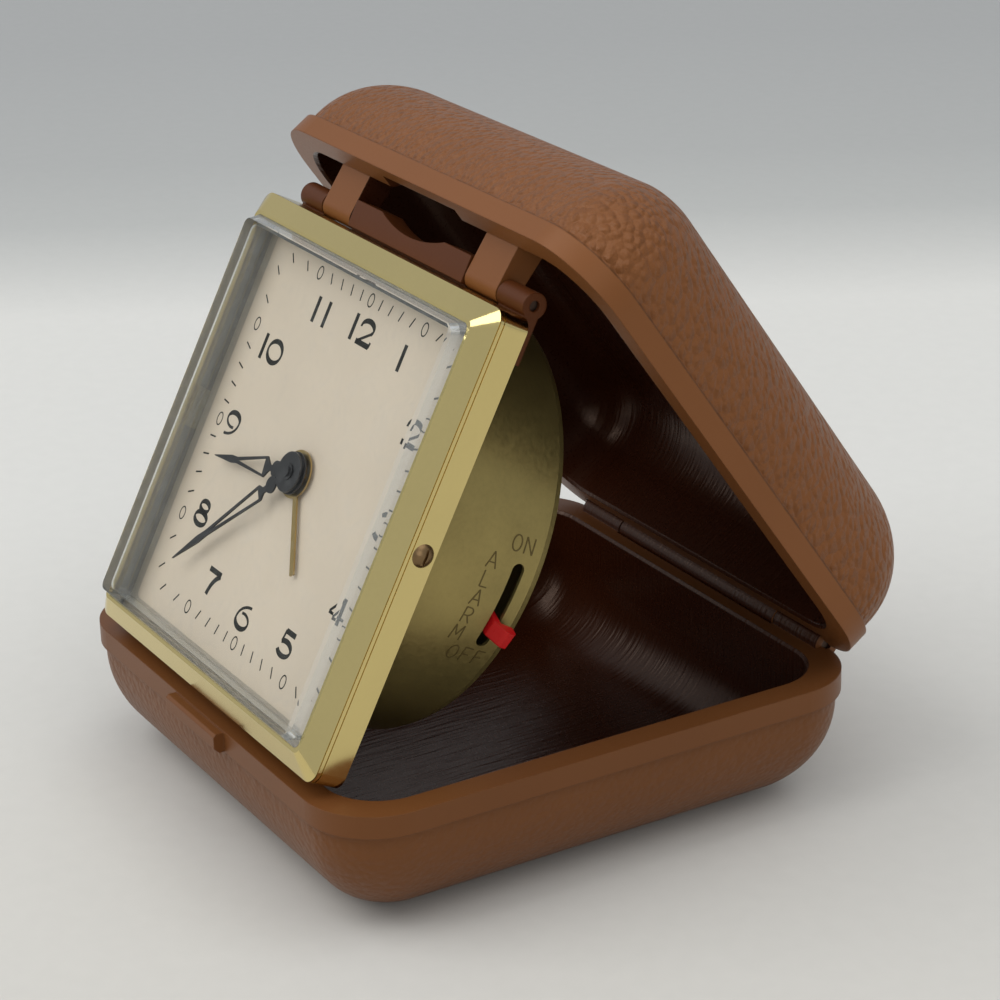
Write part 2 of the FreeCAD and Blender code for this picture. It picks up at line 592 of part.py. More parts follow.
def spiral(name, inner, outer, turns, ribbon, low, high, x, y, start=0.0):
    """A flat wound ribbon, from its inner end out to its outer end."""
    inner, outer, turns, ribbon = value(inner), value(outer), value(turns), value(ribbon)
    steps = round(turns * STEPS_PER_TURN)
    outside, inside = [], []
    for step in range(steps + 1):
        angle = math.radians(start) + 2 * math.pi * step / STEPS_PER_TURN
        radius = inner + (outer - ribbon - inner) * step / steps
        inside.append((radius * math.cos(angle), radius * math.sin(angle)))
        outside.append(((radius + ribbon) * math.cos(angle), (radius + ribbon) * math.sin(angle)))
    shape = polygon_prism(outside + inside[::-1], value(low), value(high))
    shape.translate(Vector(value(x), value(y), 0))
    return solid_of(name, shape)


# The frames of the lid and the clock, and the finished pieces

pieces = []


def piece(label, frame, *solids):
    """A finished sub-part: its solids under one label, placed in the world."""
    holder = doc.addObject("Part::Compound", "finished_" + label)
    holder.Links = list(solids)
    holder.Placement = frame
    holder.Label = label
    pieces.append(holder)


X_AXIS, Y_AXIS = Vector(1, 0, 0), Vector(0, 1, 0)
BASE_FRAME = Placement(Vector(0, 0, value("shell_height")), Rotation())
REAR_AXIS_Y = "case_depth / 2 + rear_axis_back"
rear_axis = Vector(0, value(REAR_AXIS_Y), value("shell_height"))
LID_FRAME = (Placement(rear_axis, Rotation(X_AXIS, -value("lid_angle")))
             * Placement(Vector(0, -value(REAR_AXIS_Y), 0), Rotation(Y_AXIS, 180)))
PIVOT_Y = "pivot_inset - case_depth / 2"
clock_turn = Rotation(X_AXIS, value("dial_lean"))
pivot_point = LID_FRAME.multVec(Vector(0, value(PIVOT_Y), value("pivot_drop")))
pivot_in_clock = Vector(0, value("pivot_rise"), -value("pivot_back"))
CLOCK_FRAME = Placement(pivot_point - clock_turn.multVec(pivot_in_clock), clock_turn)


# Case

def shell_inset(depth_share):
    """Inset and depth of the rounded wall, as formulas, from 0 at its top to 1."""
    angle = 90 * depth_share
    inset = "rim_step + round_inset * (1 - cos(%g))" % angle
    depth = "round_start + (shell_height - round_start) * sin(%g)" % angle
    return inset, depth


def cavity_outline(depth_share):
    """Inset and depth of the rounded part of the hollow, as formulas."""
    angle = 90 * depth_share
    inset = "rim_land + cavity_inset * (1 - cos(%g))" % angle
    depth = "cavity_straight + (shell_height - floor_thickness - cavity_straight) * sin(%g)" % angle
    return inset, depth


ROUND_STEPS = 6


def shell_body(name):
    """Half of the case: band, rounded wall and hollow, below its rim plane."""
    body = doc.addObject("PartDesign::Body", name)
    half_x, half_y = "case_width / 2", "case_depth / 2"

    def ring(label, inset, depth):
        corner = "rim_corner - round_corner_share * (%s)" % inset
        return rounded_sketch(body, name + label, "-(%s)" % depth,
                              "%s - (%s)" % (half_x, inset), "%s - (%s)" % (half_y, inset), corner)

    extrude(body, "Pad", ring("_band", "0", "0"), "rim_band", downwards=True)
    wall = ring("_wall", "rim_step", "rim_band")
    extrude(body, "Pad", wall, "round_start - rim_band", downwards=True)
    levels = [shell_inset(step / ROUND_STEPS) for step in range(ROUND_STEPS + 1)]
    rounds = [ring("_round_%d" % index, *level) for index, level in enumerate(levels)]
    loft(body, "AdditiveLoft", rounds)
    extrude(body, "Pocket", ring("_hollow", "rim_land", "0"), "cavity_straight", downwards=True)
    levels = [cavity_outline(step / ROUND_STEPS) for step in range(ROUND_STEPS + 1)]
    rounds = [ring("_cavity_%d" % index, *level) for index, level in enumerate(levels)]
    loft(body, "SubtractiveLoft", rounds)
    chamfer_tool = [ring("_edge_low", "rim_land", "land_chamfer"),
                    ring("_edge_high", "rim_land - land_chamfer", "0")]
    loft(body, "SubtractiveLoft", chamfer_tool)
    return body


def rear_knuckle(name, low, high):
    """One knuckle of the rear hinge."""
    return rod(name, "rear_barrel", low, high, REAR_AXIS_Y, "0", along="X")


def rear_relief(name, low, high):
    """The room that the other half's knuckle needs."""
    return rod(name, "rear_barrel + part_gap", low, high, REAR_AXIS_Y, "0", along="X")


def rear_bore(name):
    """The hole for the rear pin."""
    reach = "rear_half_length + overrun"
    return rod(name, "rear_pin + running_gap", "-(%s)" % reach, reach, REAR_AXIS_Y, "0", along="X")


def make_base():
    """Base half with the opening tab and the two outer rear knuckles."""
    knuckles = [rear_knuckle("base_knuckle_left", "-rear_half_length", "-(rear_split + part_gap)"),
                rear_knuckle("base_knuckle_right", "rear_split + part_gap", "rear_half_length")]
    front = "-case_depth / 2"
    tab = prism("base_tab", "YZ_Plane",
                [("%s - tab_stand" % front, "-tab_drop - tab_stand / 4"),
                 ("%s - tab_stand * 3 / 4" % front, "-tab_drop"),
                 ("%s + rim_step" % front, "-tab_drop"),
                 ("%s + rim_step" % front, "-tab_drop - tab_height"),
                 ("%s - tab_stand / 2" % front, "-tab_drop - tab_height"),
                 ("%s - tab_stand" % front, "-tab_drop - tab_height + tab_stand / 2")],
                "-tab_width / 2", "tab_width / 2")
    relief = rear_relief("base_relief", "-rear_split - part_gap", "rear_split + part_gap")
    shell = cut("base_relieved", shell_body("base_form"), relief)
    whole = fuse("base_whole", shell, tab, *knuckles)
    piece("base_shell", BASE_FRAME, cut("base_bored", whole, rear_bore("base_bore")))


ARM_FOOT_SHARE = 1.4


def lid_arm(name, low, high):
    """An arm that leaves the lid's front wall and ends in an eye."""
    wall = "rim_land - case_depth / 2"
    half = "arm_thickness / 2"
    strap = prism(name + "_strap", "YZ_Plane",
                  [("%s - land_chamfer" % wall, "-arm_root"),
                   ("%s - land_chamfer" % wall, "-land_chamfer"),
                   ("%s - knuckle_radius * cos(strap_turn)" % PIVOT_Y,
                    "pivot_drop + knuckle_radius * sin(strap_turn)"),
                   (PIVOT_Y, "pivot_drop"),
                   ("%s + knuckle_radius * cos(strap_turn)" % PIVOT_Y,
                    "pivot_drop - knuckle_radius * sin(strap_turn)"),
                   ("%s + arm_thickness * %g" % (wall, ARM_FOOT_SHARE), "-arm_thickness"),
                   ("%s + %s" % (wall, half), "-arm_root")],
                  low, high)
    eye = rod(name + "_eye", "knuckle_radius", low, high, PIVOT_Y, "pivot_drop", along="X")
    return fuse(name, strap, eye)


def make_lid():
    """Lid half with its middle rear knuckle, latch notch and two arms."""
    middle = rear_knuckle("lid_knuckle", "-rear_split", "rear_split")
    reliefs = [rear_relief("lid_relief_left", "-rear_half_length - part_gap", "-rear_split"),
               rear_relief("lid_relief_right", "rear_split", "rear_half_length + part_gap")]
    land_edge = "rim_land - case_depth / 2"
    notch = prism("lid_notch", "XZ_Plane",
                  [("-notch_width / 2", "-notch_depth"),
                   ("notch_width / 2", "-notch_depth"),
                   ("notch_width / 2 + notch_slope", "overrun"),
                   ("-notch_width / 2 - notch_slope", "overrun")],
                  "-(%s) - overrun" % land_edge, "-(%s) + notch_reach" % land_edge)
    shell = cut("lid_relieved", shell_body("lid_form"), notch, *reliefs)
    arms = [lid_arm("lid_arm_left", "-arm_outer", "-arm_inner"),
            lid_arm("lid_arm_right", "arm_inner", "arm_outer")]
    whole = fuse("lid_whole", shell, middle, *arms)
    pivot_bore = rod("lid_pivot_bore", "clock_pin + running_gap", "-arm_outer - overrun",
                     "arm_outer + overrun", PIVOT_Y, "pivot_drop", along="X")
    piece("lid_shell", LID_FRAME, cut("lid_bored", whole, rear_bore("lid_bore"), pivot_bore))


def make_hinge_pins():
    """Steel pins of both hinges, their ends a little inside the knuckles."""
    reach = "rear_half_length - pin_recess"
    rear = rod("rear_pin_rod", "rear_pin", "-(%s)" % reach, reach, REAR_AXIS_Y, "0", along="X")
    piece("rear_hinge_pin", BASE_FRAME, rear)
    reach = "knuckle_outer - pin_recess"
    front = rod("clock_pin_rod", "clock_pin", "-(%s)" % reach, reach, "pivot_rise", "-pivot_back", along="X")
    piece("clock_hinge_pin", CLOCK_FRAME, front)


# Bracket between clock and lid

def bracket_knuckle(name, low, high):
    """A knuckle of the bracket and the web that carries it."""
    barrel = rod(name + "_barrel", "knuckle_radius", low, high, "pivot_rise", "-pivot_back", along="X")
    web = block(name + "_web", (low, "bracket_screw_y", "-bracket_thickness"),
                (high, "pivot_rise", "-pivot_back + knuckle_radius / 2"))
    return fuse(name, barrel, web)


def make_bracket():
    """Brown bracket: a plate round the drum's top with three knuckles."""
    plate = block("bracket_plate", ("-knuckle_outer", "bracket_low", "-bracket_thickness"),
                  ("knuckle_outer", "pivot_rise - knuckle_radius - part_gap", "-seat_gap"))
    inner, outer = "arm_inner - part_gap", "arm_outer + part_gap"
    sides = [bracket_knuckle("bracket_left", "-knuckle_outer", "-(%s)" % outer),
             bracket_knuckle("bracket_right", outer, "knuckle_outer")]
    middle = bracket_knuckle("bracket_middle", "-(%s)" % inner, inner)
    lip = block("bracket_rise", ("-(%s)" % inner, "bezel_half + part_gap", "-pivot_back - knuckle_radius"),
                (inner, "pivot_rise + bracket_lip", "-pivot_back + knuckle_radius"))
    scallop_radius = "((scallop_width / 2)^2 + scallop_depth^2) / (2 * scallop_depth)"
    scallop = rod("bracket_scallop", scallop_radius, "-bracket_thickness - knuckle_radius - overrun",
                  "overrun",
                  "0", "pivot_rise + bracket_lip - scallop_depth + %s" % scallop_radius)
    drum = rod("bracket_drum_room", "drum_radius + seat_gap", "-bracket_thickness - overrun", "overrun")
    bore = rod("bracket_bore", "clock_pin + running_gap", "-knuckle_outer - overrun",
               "knuckle_outer + overrun",
               "pivot_rise", "-pivot_back", along="X")
    bezel_room = block("bracket_bezel_room", ("-bezel_half", "bracket_low", "-seat_gap"),
                       ("bezel_half", "bezel_half + seat_gap", "bezel_side"))
    holes = [rod("bracket_hole_%s" % side, "side_screw + seat_gap", "-bracket_thickness - overrun", "overrun",
                 "%sbracket_screw_x" % sign, "bracket_screw_y") for side,
             sign in (("left", "-"), ("right", ""))]
    whole = fuse("bracket_whole", plate, middle, lip, *sides)
    shaped = cut("bracket_shaped", whole, scallop, drum, bore, bezel_room, *holes)
    piece("clock_hinge_bracket", CLOCK_FRAME, shaped)
    screws = []
    for side, sign in (("left", "-"), ("right", "")):
        x, y = "%sbracket_screw_x" % sign, "bracket_screw_y"
        head = rod("bracket_head_" + side, "side_screw_head", "-bracket_thickness - side_screw_dome",
                   "-bracket_thickness", x, y)
        shank = rod("bracket_shank_" + side, "side_screw", "-bracket_thickness", "flange_thickness", x, y)
        slot = block("bracket_slot_" + side,
                     ("%s - side_screw_head" % x, "%s - screw_slot / 2" % y,
                      "-bracket_thickness - side_screw_dome - overrun"),
                     ("%s + side_screw_head" % x, "%s + screw_slot / 2" % y,
                      "-bracket_thickness - side_screw_dome / 2"))
        screws.append(cut("bracket_screw_" + side, fuse("bracket_blank_" + side, head, shank), slot))
    piece("bracket_screws", CLOCK_FRAME, *screws)


# Clock front

def make_bezel():
    """Square gold bezel: side with a groove, sloping front, opening."""
    body = doc.addObject("PartDesign::Body", "bezel_form")

    def square(label, level, half, corner="bezel_corner"):
        return rounded_sketch(body, "bezel_" + label, level, half, half, corner)

    bead_foot = "bezel_side - bezel_groove - bezel_bead"
    grooved = "bezel_half - bezel_groove_depth"
    extrude(body, "Pad", square("side", "0", "bezel_half"), "%s - bezel_groove" % bead_foot)
    extrude(body, "Pad", square("groove_back", "%s - bezel_groove" % bead_foot, grooved), "bezel_groove")
    extrude(body, "Pad", square("bead", bead_foot, "bezel_half"), "bezel_bead")
    extrude(body, "Pad", square("groove_front", "bezel_side - bezel_groove", grooved), "bezel_groove")
    loft(body, "AdditiveLoft", [square("slope_foot", "bezel_side", "bezel_half"),
                                square("slope_top", "bezel_front", "bezel_lip_half + bezel_lip",
                                       "crystal_corner")])
    inner = "bezel_half - bezel_wall"
    inner_top = "bezel_side - bezel_wall"
    extrude(body, "Pocket", square("room", "0", inner, "bezel_corner - bezel_wall / 2"), inner_top)
    loft(body, "SubtractiveLoft", [square("room_foot", inner_top, inner, "bezel_corner - bezel_wall / 2"),
                                   square("room_top", "bezel_front - bezel_wall", "bezel_lip_half",
                                          "crystal_corner")])
    extrude(body, "Pocket", square("opening", "0", "bezel_lip_half", "crystal_corner"),
            "bezel_front + overrun")
    holes = rod("bezel_screw_holes", "side_screw + running_gap", "-bezel_half - overrun",
                "bezel_half + overrun",
                "0", "side_screw_level", along="X")
    piece("bezel", CLOCK_FRAME, cut("bezel_drilled", body, holes))


def side_screw(side):
    """A slotted round-head screw through the right side of the bezel."""
    dome_radius = "(side_screw_head^2 + side_screw_dome^2) / (2 * side_screw_dome)"
    outside = "bezel_half + side_screw_dome"
    ball = doc.addObject("Part::Sphere", "side_ball_" + side)
    bind(ball, {"Radius": dome_radius})
    place(ball, "%s - %s" % (outside, dome_radius), "0", "side_screw_level")
    slab = rod("side_slab_" + side, "side_screw_head", "bezel_half", outside, "0", "side_screw_level",
               along="X")
    dome = doc.addObject("Part::Common", "side_dome_" + side)
    dome.Base, dome.Tool = ball, slab
    shank = rod("side_shank_" + side, "side_screw", "bezel_half - side_screw_length", "bezel_half", "0",
                "side_screw_level", along="X")
    slot = block("side_slot_" + side,
                 ("bezel_half + side_screw_dome / 2", "-side_screw_head",
                  "side_screw_level - screw_slot / 2"),
                 ("%s + overrun" % outside, "side_screw_head", "side_screw_level + screw_slot / 2"))
    return cut("side_screw_" + side, fuse("side_blank_" + side, dome, shank), slot)


def make_crystal():
    """Clear moulded box over the dial, with a flange behind the bezel."""
    body = doc.addObject("PartDesign::Body", "crystal_form")

    def square(label, level, half, corner="crystal_corner"):
        return rounded_sketch(body, "crystal_" + label, level, half, half, corner)

    foot = "dial_front + seat_gap"
    outside = "bezel_lip_half - running_gap"
    inside = "bezel_lip_half - running_gap - crystal_wall"
    flange_top = "%s + crystal_flange_height" % foot
    extrude(body, "Pad", square("flange", foot, "crystal_flange"), "crystal_flange_height")
    extrude(body, "Pad", square("wall", flange_top, outside), "bezel_front - (%s)" % flange_top)
    loft(body, "AdditiveLoft", [square("front_foot", "bezel_front", outside),
                                square("front", "crystal_front", "%s - crystal_draft" % outside)])
    extrude(body, "Pocket", square("room", foot, inside), "bezel_front - (%s)" % foot)
    loft(body, "SubtractiveLoft", [square("room_foot", "bezel_front", inside),
                                   square("room_top", "crystal_front - crystal_wall",
                                          "%s - crystal_draft / 2" % inside)])
    piece("crystal", CLOCK_FRAME, body)


def make_dial():
    """Square dial on a spacer, with two feet that go through the front plate."""
    back = "dial_front - dial_thickness"
    card = sheet_part("dial_card", back, "dial_thickness",
                      lambda sketch: add_rounded_rectangle(sketch, "dial_half", "dial_half",
                                                           "crystal_corner"),
                      [("dial_hole", "0", "0")])
    feet = [rod("dial_foot_" + side, "dial_foot", "%s - dial_foot_length" % back, back,
                "%sdial_foot_x" % sign, "0") for side, sign in (("left", "-"), ("right", ""))]
    piece("dial", CLOCK_FRAME, fuse("dial_whole", card, *feet))
    frame = sheet_part("spacer_frame", "flange_thickness + seat_gap",
                       "dial_front - dial_thickness - flange_thickness - 2 * seat_gap",
                       lambda sketch: add_rounded_rectangle(sketch, "dial_half", "dial_half",
                                                            "crystal_corner"),
                       [("spacer_hole", "0", "0")])
    ring = sheet_part("spacer_ring", "seat_gap", "flange_thickness + seat_gap",
                      lambda sketch: add_circle(sketch, "front_plate - seat_gap"),
                      [("spacer_hole", "0", "0")])
    piece("dial_spacer", CLOCK_FRAME, fuse("spacer_whole", frame, ring))


# Places of the arbors, as pairs of formulas

def polar(origin, distance, angle):
    """The point at a distance and direction from another."""
    return ("%s + (%s) * cos(%s)" % (origin[0], distance, angle),
            "%s + (%s) * sin(%s)" % (origin[1], distance, angle))


def mesh(module, teeth, leaves):
    """Distance between the centres of two wheels in mesh."""
    return "%s * (%s + %s) / 2" % (module, teeth, leaves)


CENTRE = ("0", "0")
GREAT = polar(CENTRE, mesh("great_module", "great_teeth", "centre_leaves"), "great_angle")
THIRD = polar(CENTRE, mesh("centre_module", "centre_teeth", "train_leaves"), "third_angle")
FOURTH = polar(THIRD, mesh("third_module", "third_teeth", "train_leaves"), "fourth_angle")
ESCAPE = polar(FOURTH, mesh("fourth_module", "fourth_teeth", "train_leaves"), "escape_angle")
PALLET = polar(ESCAPE, "pallet_distance", "pallet_angle")
BALANCE = polar(PALLET, "balance_distance", "balance_angle")
MINUTE = polar(CENTRE, mesh("motion_module", "cannon_leaves", "minute_teeth"), "minute_angle")
SETTING = polar(CENTRE, mesh("alarm_module", "alarm_teeth", "setting_leaves"), "setting_angle")
ALARM_GREAT = polar(CENTRE, "alarm_great_distance", "alarm_great_angle")
STAR = polar(ALARM_GREAT, mesh("alarm_great_module", "alarm_great_teeth", "train_leaves"), "star_angle")
VERGE = polar(STAR, "verge_distance", "verge_angle")
SHUTOFF = polar(CENTRE, "shutoff_distance", "(slot_top_angle + slot_low_angle) / 2")
REGULATOR_FINGER = polar(BALANCE, "regulator_reach", "regulator_angle")
PILLARS = [polar(CENTRE, "pillar_circle", "pillar_angle_" + word) for word in ("one", "two", "three")]
BACK_PLATE_TOP = "-(plate_thickness + plate_gap)"
BACK_PLATE_FOOT = "-(2 * plate_thickness + plate_gap)"
DRUM_BACK = "-drum_depth"


def make_drum():
    """Drum with a square flange in front, lugs, a ledge and its openings."""
    inner = "drum_radius - drum_wall"
    round_in = "drum_radius - drum_round"
    quarter = "drum_round * (1 - cos(45))"
    cup = turned("drum_cup", [
        ("0", DRUM_BACK), (round_in, DRUM_BACK),
        ("drum_radius - %s" % quarter, "-drum_depth + %s" % quarter),
        ("drum_radius", "-drum_depth + drum_round"), ("drum_radius", "flange_thickness"),
        (inner, "flange_thickness"), (inner, "-plate_thickness - seat_gap"),
        ("%s - ledge_width" % inner, "-plate_thickness - seat_gap"),
        ("%s - ledge_width" % inner, "-plate_thickness - ledge_height"),
        (inner, "-plate_thickness - ledge_height"), (inner, "-drum_depth + drum_round"),
        ("%s - %s" % (inner, quarter), "-drum_depth + drum_wall + %s" % quarter),
        ("%s - drum_round + drum_wall" % inner, "-drum_depth + drum_wall"), ("0", "-drum_depth + drum_wall")])
    flange = sheet_part("drum_flange", "0", "flange_thickness",
                        lambda sketch: add_rounded_rectangle(sketch, "flange_half", "flange_half",
                                                             "bezel_corner - bezel_wall / 2"),
                        [("drum_radius - drum_wall / 2", "0", "0")])
    lug_wall = "flange_half - flange_thickness"
    lugs = [block("drum_lug_right", (lug_wall, "-lug_half", "0"), ("flange_half", "lug_half", "lug_height")),
            block("drum_lug_left", ("-flange_half", "-lug_half", "0"),
                  ("-(%s)" % lug_wall, "lug_half", "lug_height"))]
    whole = fuse("drum_whole", cup, flange, *lugs)
    slot_inside, slot_outside = "(%s) * cos(slot_low_angle) - overrun" % inner, "drum_radius + overrun"
    slot_top = "drum_radius * sin(slot_top_angle) - slot_width / 2"
    slot_low = "drum_radius * sin(slot_low_angle) + slot_width / 2"
    tools = [block("drum_alarm_slot", (slot_inside, slot_low, "-slot_level - slot_width / 2"),
                   (slot_outside, slot_top, "-slot_level + slot_width / 2"))]
    for end, level in (("top", slot_top), ("low", slot_low)):
        tools.append(rod("drum_slot_" + end, "slot_width / 2", slot_inside, slot_outside, level,
                         "-slot_level",
                         along="X"))
    floor = ("-drum_depth - overrun", "-drum_depth + drum_wall + overrun")
    for name, place_of, radius in (("time_key", GREAT, "winding_arbor"),
                                   ("alarm_key", ALARM_GREAT, "winding_arbor"),
                                   ("time_knob", CENTRE, "centre_arbor"), ("alarm_knob", SETTING, "arbor")):
        tools.append(rod("drum_hole_" + name, "%s + key_hole_gap" % radius, *floor, *place_of))
    half_slot = "regulator_reach * sin(regulator_sweep) + regulator_finger + key_hole_gap"
    window = block("drum_window_blank", ("-(%s)" % half_slot, "-regulator_finger - key_hole_gap", floor[0]),
                   (half_slot, "regulator_finger + key_hole_gap", floor[1]))
    tools.append(turn_about("drum_window", window, "regulator_angle - 90", *REGULATOR_FINGER))
    tools.append(rod("drum_screw_holes", "side_screw + seat_gap", "-bezel_half - overrun",
                     "bezel_half + overrun",
                     "0", "side_screw_level", along="X"))
    for side, sign in (("left", "-"), ("right", "")):
        tools.append(rod("drum_bracket_hole_" + side, "side_screw + seat_gap", "-overrun",
                         "flange_thickness + overrun",
                         "%sbracket_screw_x" % sign, "bracket_screw_y"))
    piece("drum_case", CLOCK_FRAME, cut("drum_cut", whole, *tools))
    piece("bezel_screws", CLOCK_FRAME, side_screw("right"),
          turn_about("side_screw_turned", side_screw("left"), "180"))


# Movement frame

def make_plates():
    """Front and back plates, pillars, plate screws and studs."""
    pivots = [THIRD, FOURTH, ESCAPE, PALLET, STAR, VERGE]
    pivot_holes = [("pivot + running_gap",) + point for point in pivots]
    through = [("centre_arbor + running_gap",) + CENTRE, ("arbor + running_gap",) + SETTING,
               ("cup_screw + seat_gap",) + BALANCE]
    winding = [("winding_arbor + running_gap",) + point for point in (GREAT, ALARM_GREAT)]
    feet = [("dial_foot + seat_gap", "%sdial_foot_x" % sign, "0") for sign in ("-", "")]
    front = sheet_part("front_plate_sheet", "-plate_thickness", "plate_thickness - seat_gap",
                       lambda sketch: add_circle(sketch, "front_plate"),
                       pivot_holes + through + winding + feet)
    stud = rod("minute_stud_rod", "minute_stud", "-plate_thickness", "minute_stud_height", *MINUTE)
    piece("front_plate", CLOCK_FRAME, fuse("front_plate_whole", front, stud))
    screw_holes = [("plate_screw + seat_gap",) + point for point in PILLARS]
    back = sheet_part("back_plate_sheet", BACK_PLATE_FOOT, "plate_thickness - seat_gap",
                      lambda sketch: add_circle(sketch, "back_plate"),
                      pivot_holes + through + winding + screw_holes)
    lever_stud = rod("shutoff_stud_rod", "shutoff_stud", "-slot_level - shutoff_thickness",
                     "%s + plate_thickness / 2" % BACK_PLATE_FOOT, *SHUTOFF)
    spring_stud = rod("hairspring_stud_rod", "hairspring_stud", "%s - plate_thickness / 2" % BACK_PLATE_TOP,
                      "-hairspring_level + hairspring_height",
                      *polar(BALANCE, "hairspring_radius + hairspring_stud",
                                                                      "balance_angle"))
    piece("back_plate", CLOCK_FRAME, fuse("back_plate_whole", back, lever_stud, spring_stud))
    pillars, screws = [], []
    for index, (x, y) in enumerate(PILLARS):
        column = rod("pillar_column_%d" % index, "pillar_radius", "%s + seat_gap" % BACK_PLATE_TOP,
                     "-plate_thickness - seat_gap", x, y)
        bore = rod("pillar_bore_%d" % index, "plate_screw + seat_gap", "%s - overrun" % BACK_PLATE_TOP,
                   "%s - plate_thickness + plate_screw_length + seat_gap" % BACK_PLATE_TOP, x, y)
        pillars.append(cut("pillar_%d" % index, column, bore))
        head = rod("plate_screw_head_%d" % index, "plate_screw_head",
                   "%s - plate_screw_head_height" % BACK_PLATE_FOOT,
                   BACK_PLATE_FOOT, x, y)
        shank = rod("plate_screw_shank_%d" % index, "plate_screw", BACK_PLATE_FOOT,
                    "%s + plate_screw_length" % BACK_PLATE_FOOT, x, y)
        slot = block("plate_screw_slot_%d" % index,
                     ("%s - plate_screw_head" % x, "%s - screw_slot / 2" % y,
                      "%s - plate_screw_head_height - overrun" % BACK_PLATE_FOOT),
                     ("%s + plate_screw_head" % x, "%s + screw_slot / 2" % y,
                      "%s - plate_screw_head_height / 2" % BACK_PLATE_FOOT))
        screws.append(cut("plate_screw_%d" % index, fuse("plate_screw_blank_%d" % index, head, shank), slot))
    piece("movement_pillars", CLOCK_FRAME, *pillars)
    piece("plate_screws", CLOCK_FRAME, *screws)


def arbor_between_plates(name, radius="arbor"):
    """An arbor between the plates, with a pivot at each end."""
    low, high = "%s + shoulder_gap" % BACK_PLATE_TOP, "-plate_thickness - shoulder_gap"
    body = rod(name + "_body", radius, low, high)
    pivots = rod(name + "_pivots", "pivot", "%s - pivot_reach" % BACK_PLATE_TOP,
                 "-plate_thickness + pivot_reach")
    return fuse(name, body, pivots)


def at(name, place_of, *solids):
    """Solids made about the origin, fused and moved to their arbor's place."""
    whole = solids[0] if len(solids) == 1 else fuse(name + "_fused", *solids)
    return turn_about(name, whole, "0", *place_of)


def leaf_phase(line_angle, teeth):
    """Phase in degrees that puts a gap where the mate's tooth comes from."""
    return value(line_angle) + 180 + 180 / value(teeth)


def make_time_train():
    """Great wheel, centre, third, fourth and escape wheels in mesh."""
    wheel = gear("great_teeth_ring", "great_module", "great_teeth", "-great_level",
                 "-great_level + great_thickness",
                 "winding_arbor + running_gap", value("great_angle") + 180, lightened=True)
    piece("time_great_wheel", CLOCK_FRAME, at("time_great", GREAT, wheel))
    centre_low, centre_high = "-centre_level", "-centre_level + wheel_thickness"
    bore = "centre_arbor + running_gap"
    wheel = gear("centre_ring", "centre_module", "centre_teeth", centre_low, centre_high, bore,
                 value("third_angle"), lightened=True)
    leaves = gear("centre_leaves_ring", "great_module", "centre_leaves", "-great_level - part_gap",
                  centre_low, bore,
                  value("great_angle") + 180 / value("centre_leaves"))
    piece("centre_wheel", CLOCK_FRAME, fuse("centre_wheel_whole", wheel, leaves))
    third = fuse("third_whole",
                 gear("third_ring", "third_module", "third_teeth", "-third_level",
                      "-third_level + wheel_thickness",
                      "0", value("fourth_angle"), lightened=True),
                 gear("third_pinion", "centre_module", "train_leaves", "-third_level + wheel_thickness",
                      "-centre_level + wheel_thickness + part_gap", "0",
                      leaf_phase("third_angle", "train_leaves")),
                 arbor_between_plates("third_arbor"))
    piece("third_wheel", CLOCK_FRAME, at("third", THIRD, third))
    fourth = fuse("fourth_whole",
                  gear("fourth_ring", "fourth_module", "fourth_teeth", "-fourth_level",
                       "-fourth_level + wheel_thickness",
                       "0", value("escape_angle"), lightened=True),
                  gear("fourth_pinion", "third_module", "train_leaves", "-fourth_level + wheel_thickness",
                       "-third_level + wheel_thickness + part_gap", "0",
                       leaf_phase("fourth_angle", "train_leaves")),
                  arbor_between_plates("fourth_arbor"))
    piece("fourth_wheel", CLOCK_FRAME, at("fourth", FOURTH, fourth))
    half_pitch = 180 / value("escape_teeth")
    escape = fuse("escape_whole",
                  pointed_wheel("escape_ring", "escape_radius", "escape_teeth", "-escape_level",
                                "-escape_level + wheel_thickness", value("pallet_angle") + half_pitch),
                  gear("escape_pinion", "fourth_module", "train_leaves", "-escape_level + wheel_thickness",
                       "-fourth_level + wheel_thickness + part_gap", "0",
                       leaf_phase("escape_angle", "train_leaves")),
                  arbor_between_plates("escape_arbor"))
    piece("escape_wheel", CLOCK_FRAME, at("escape", ESCAPE, escape))


def lever_bar(name, width, length, low, high, angle):
    """A flat bar from the origin outwards at an angle."""
    bar = block(name + "_flat", ("0", "-(%s) / 2" % width, low), (length, "(%s) / 2" % width, high))
    return turn_about(name, bar, angle)


PIN_ARM_SHARE, FORK_SHARE = 0.6, 1.4


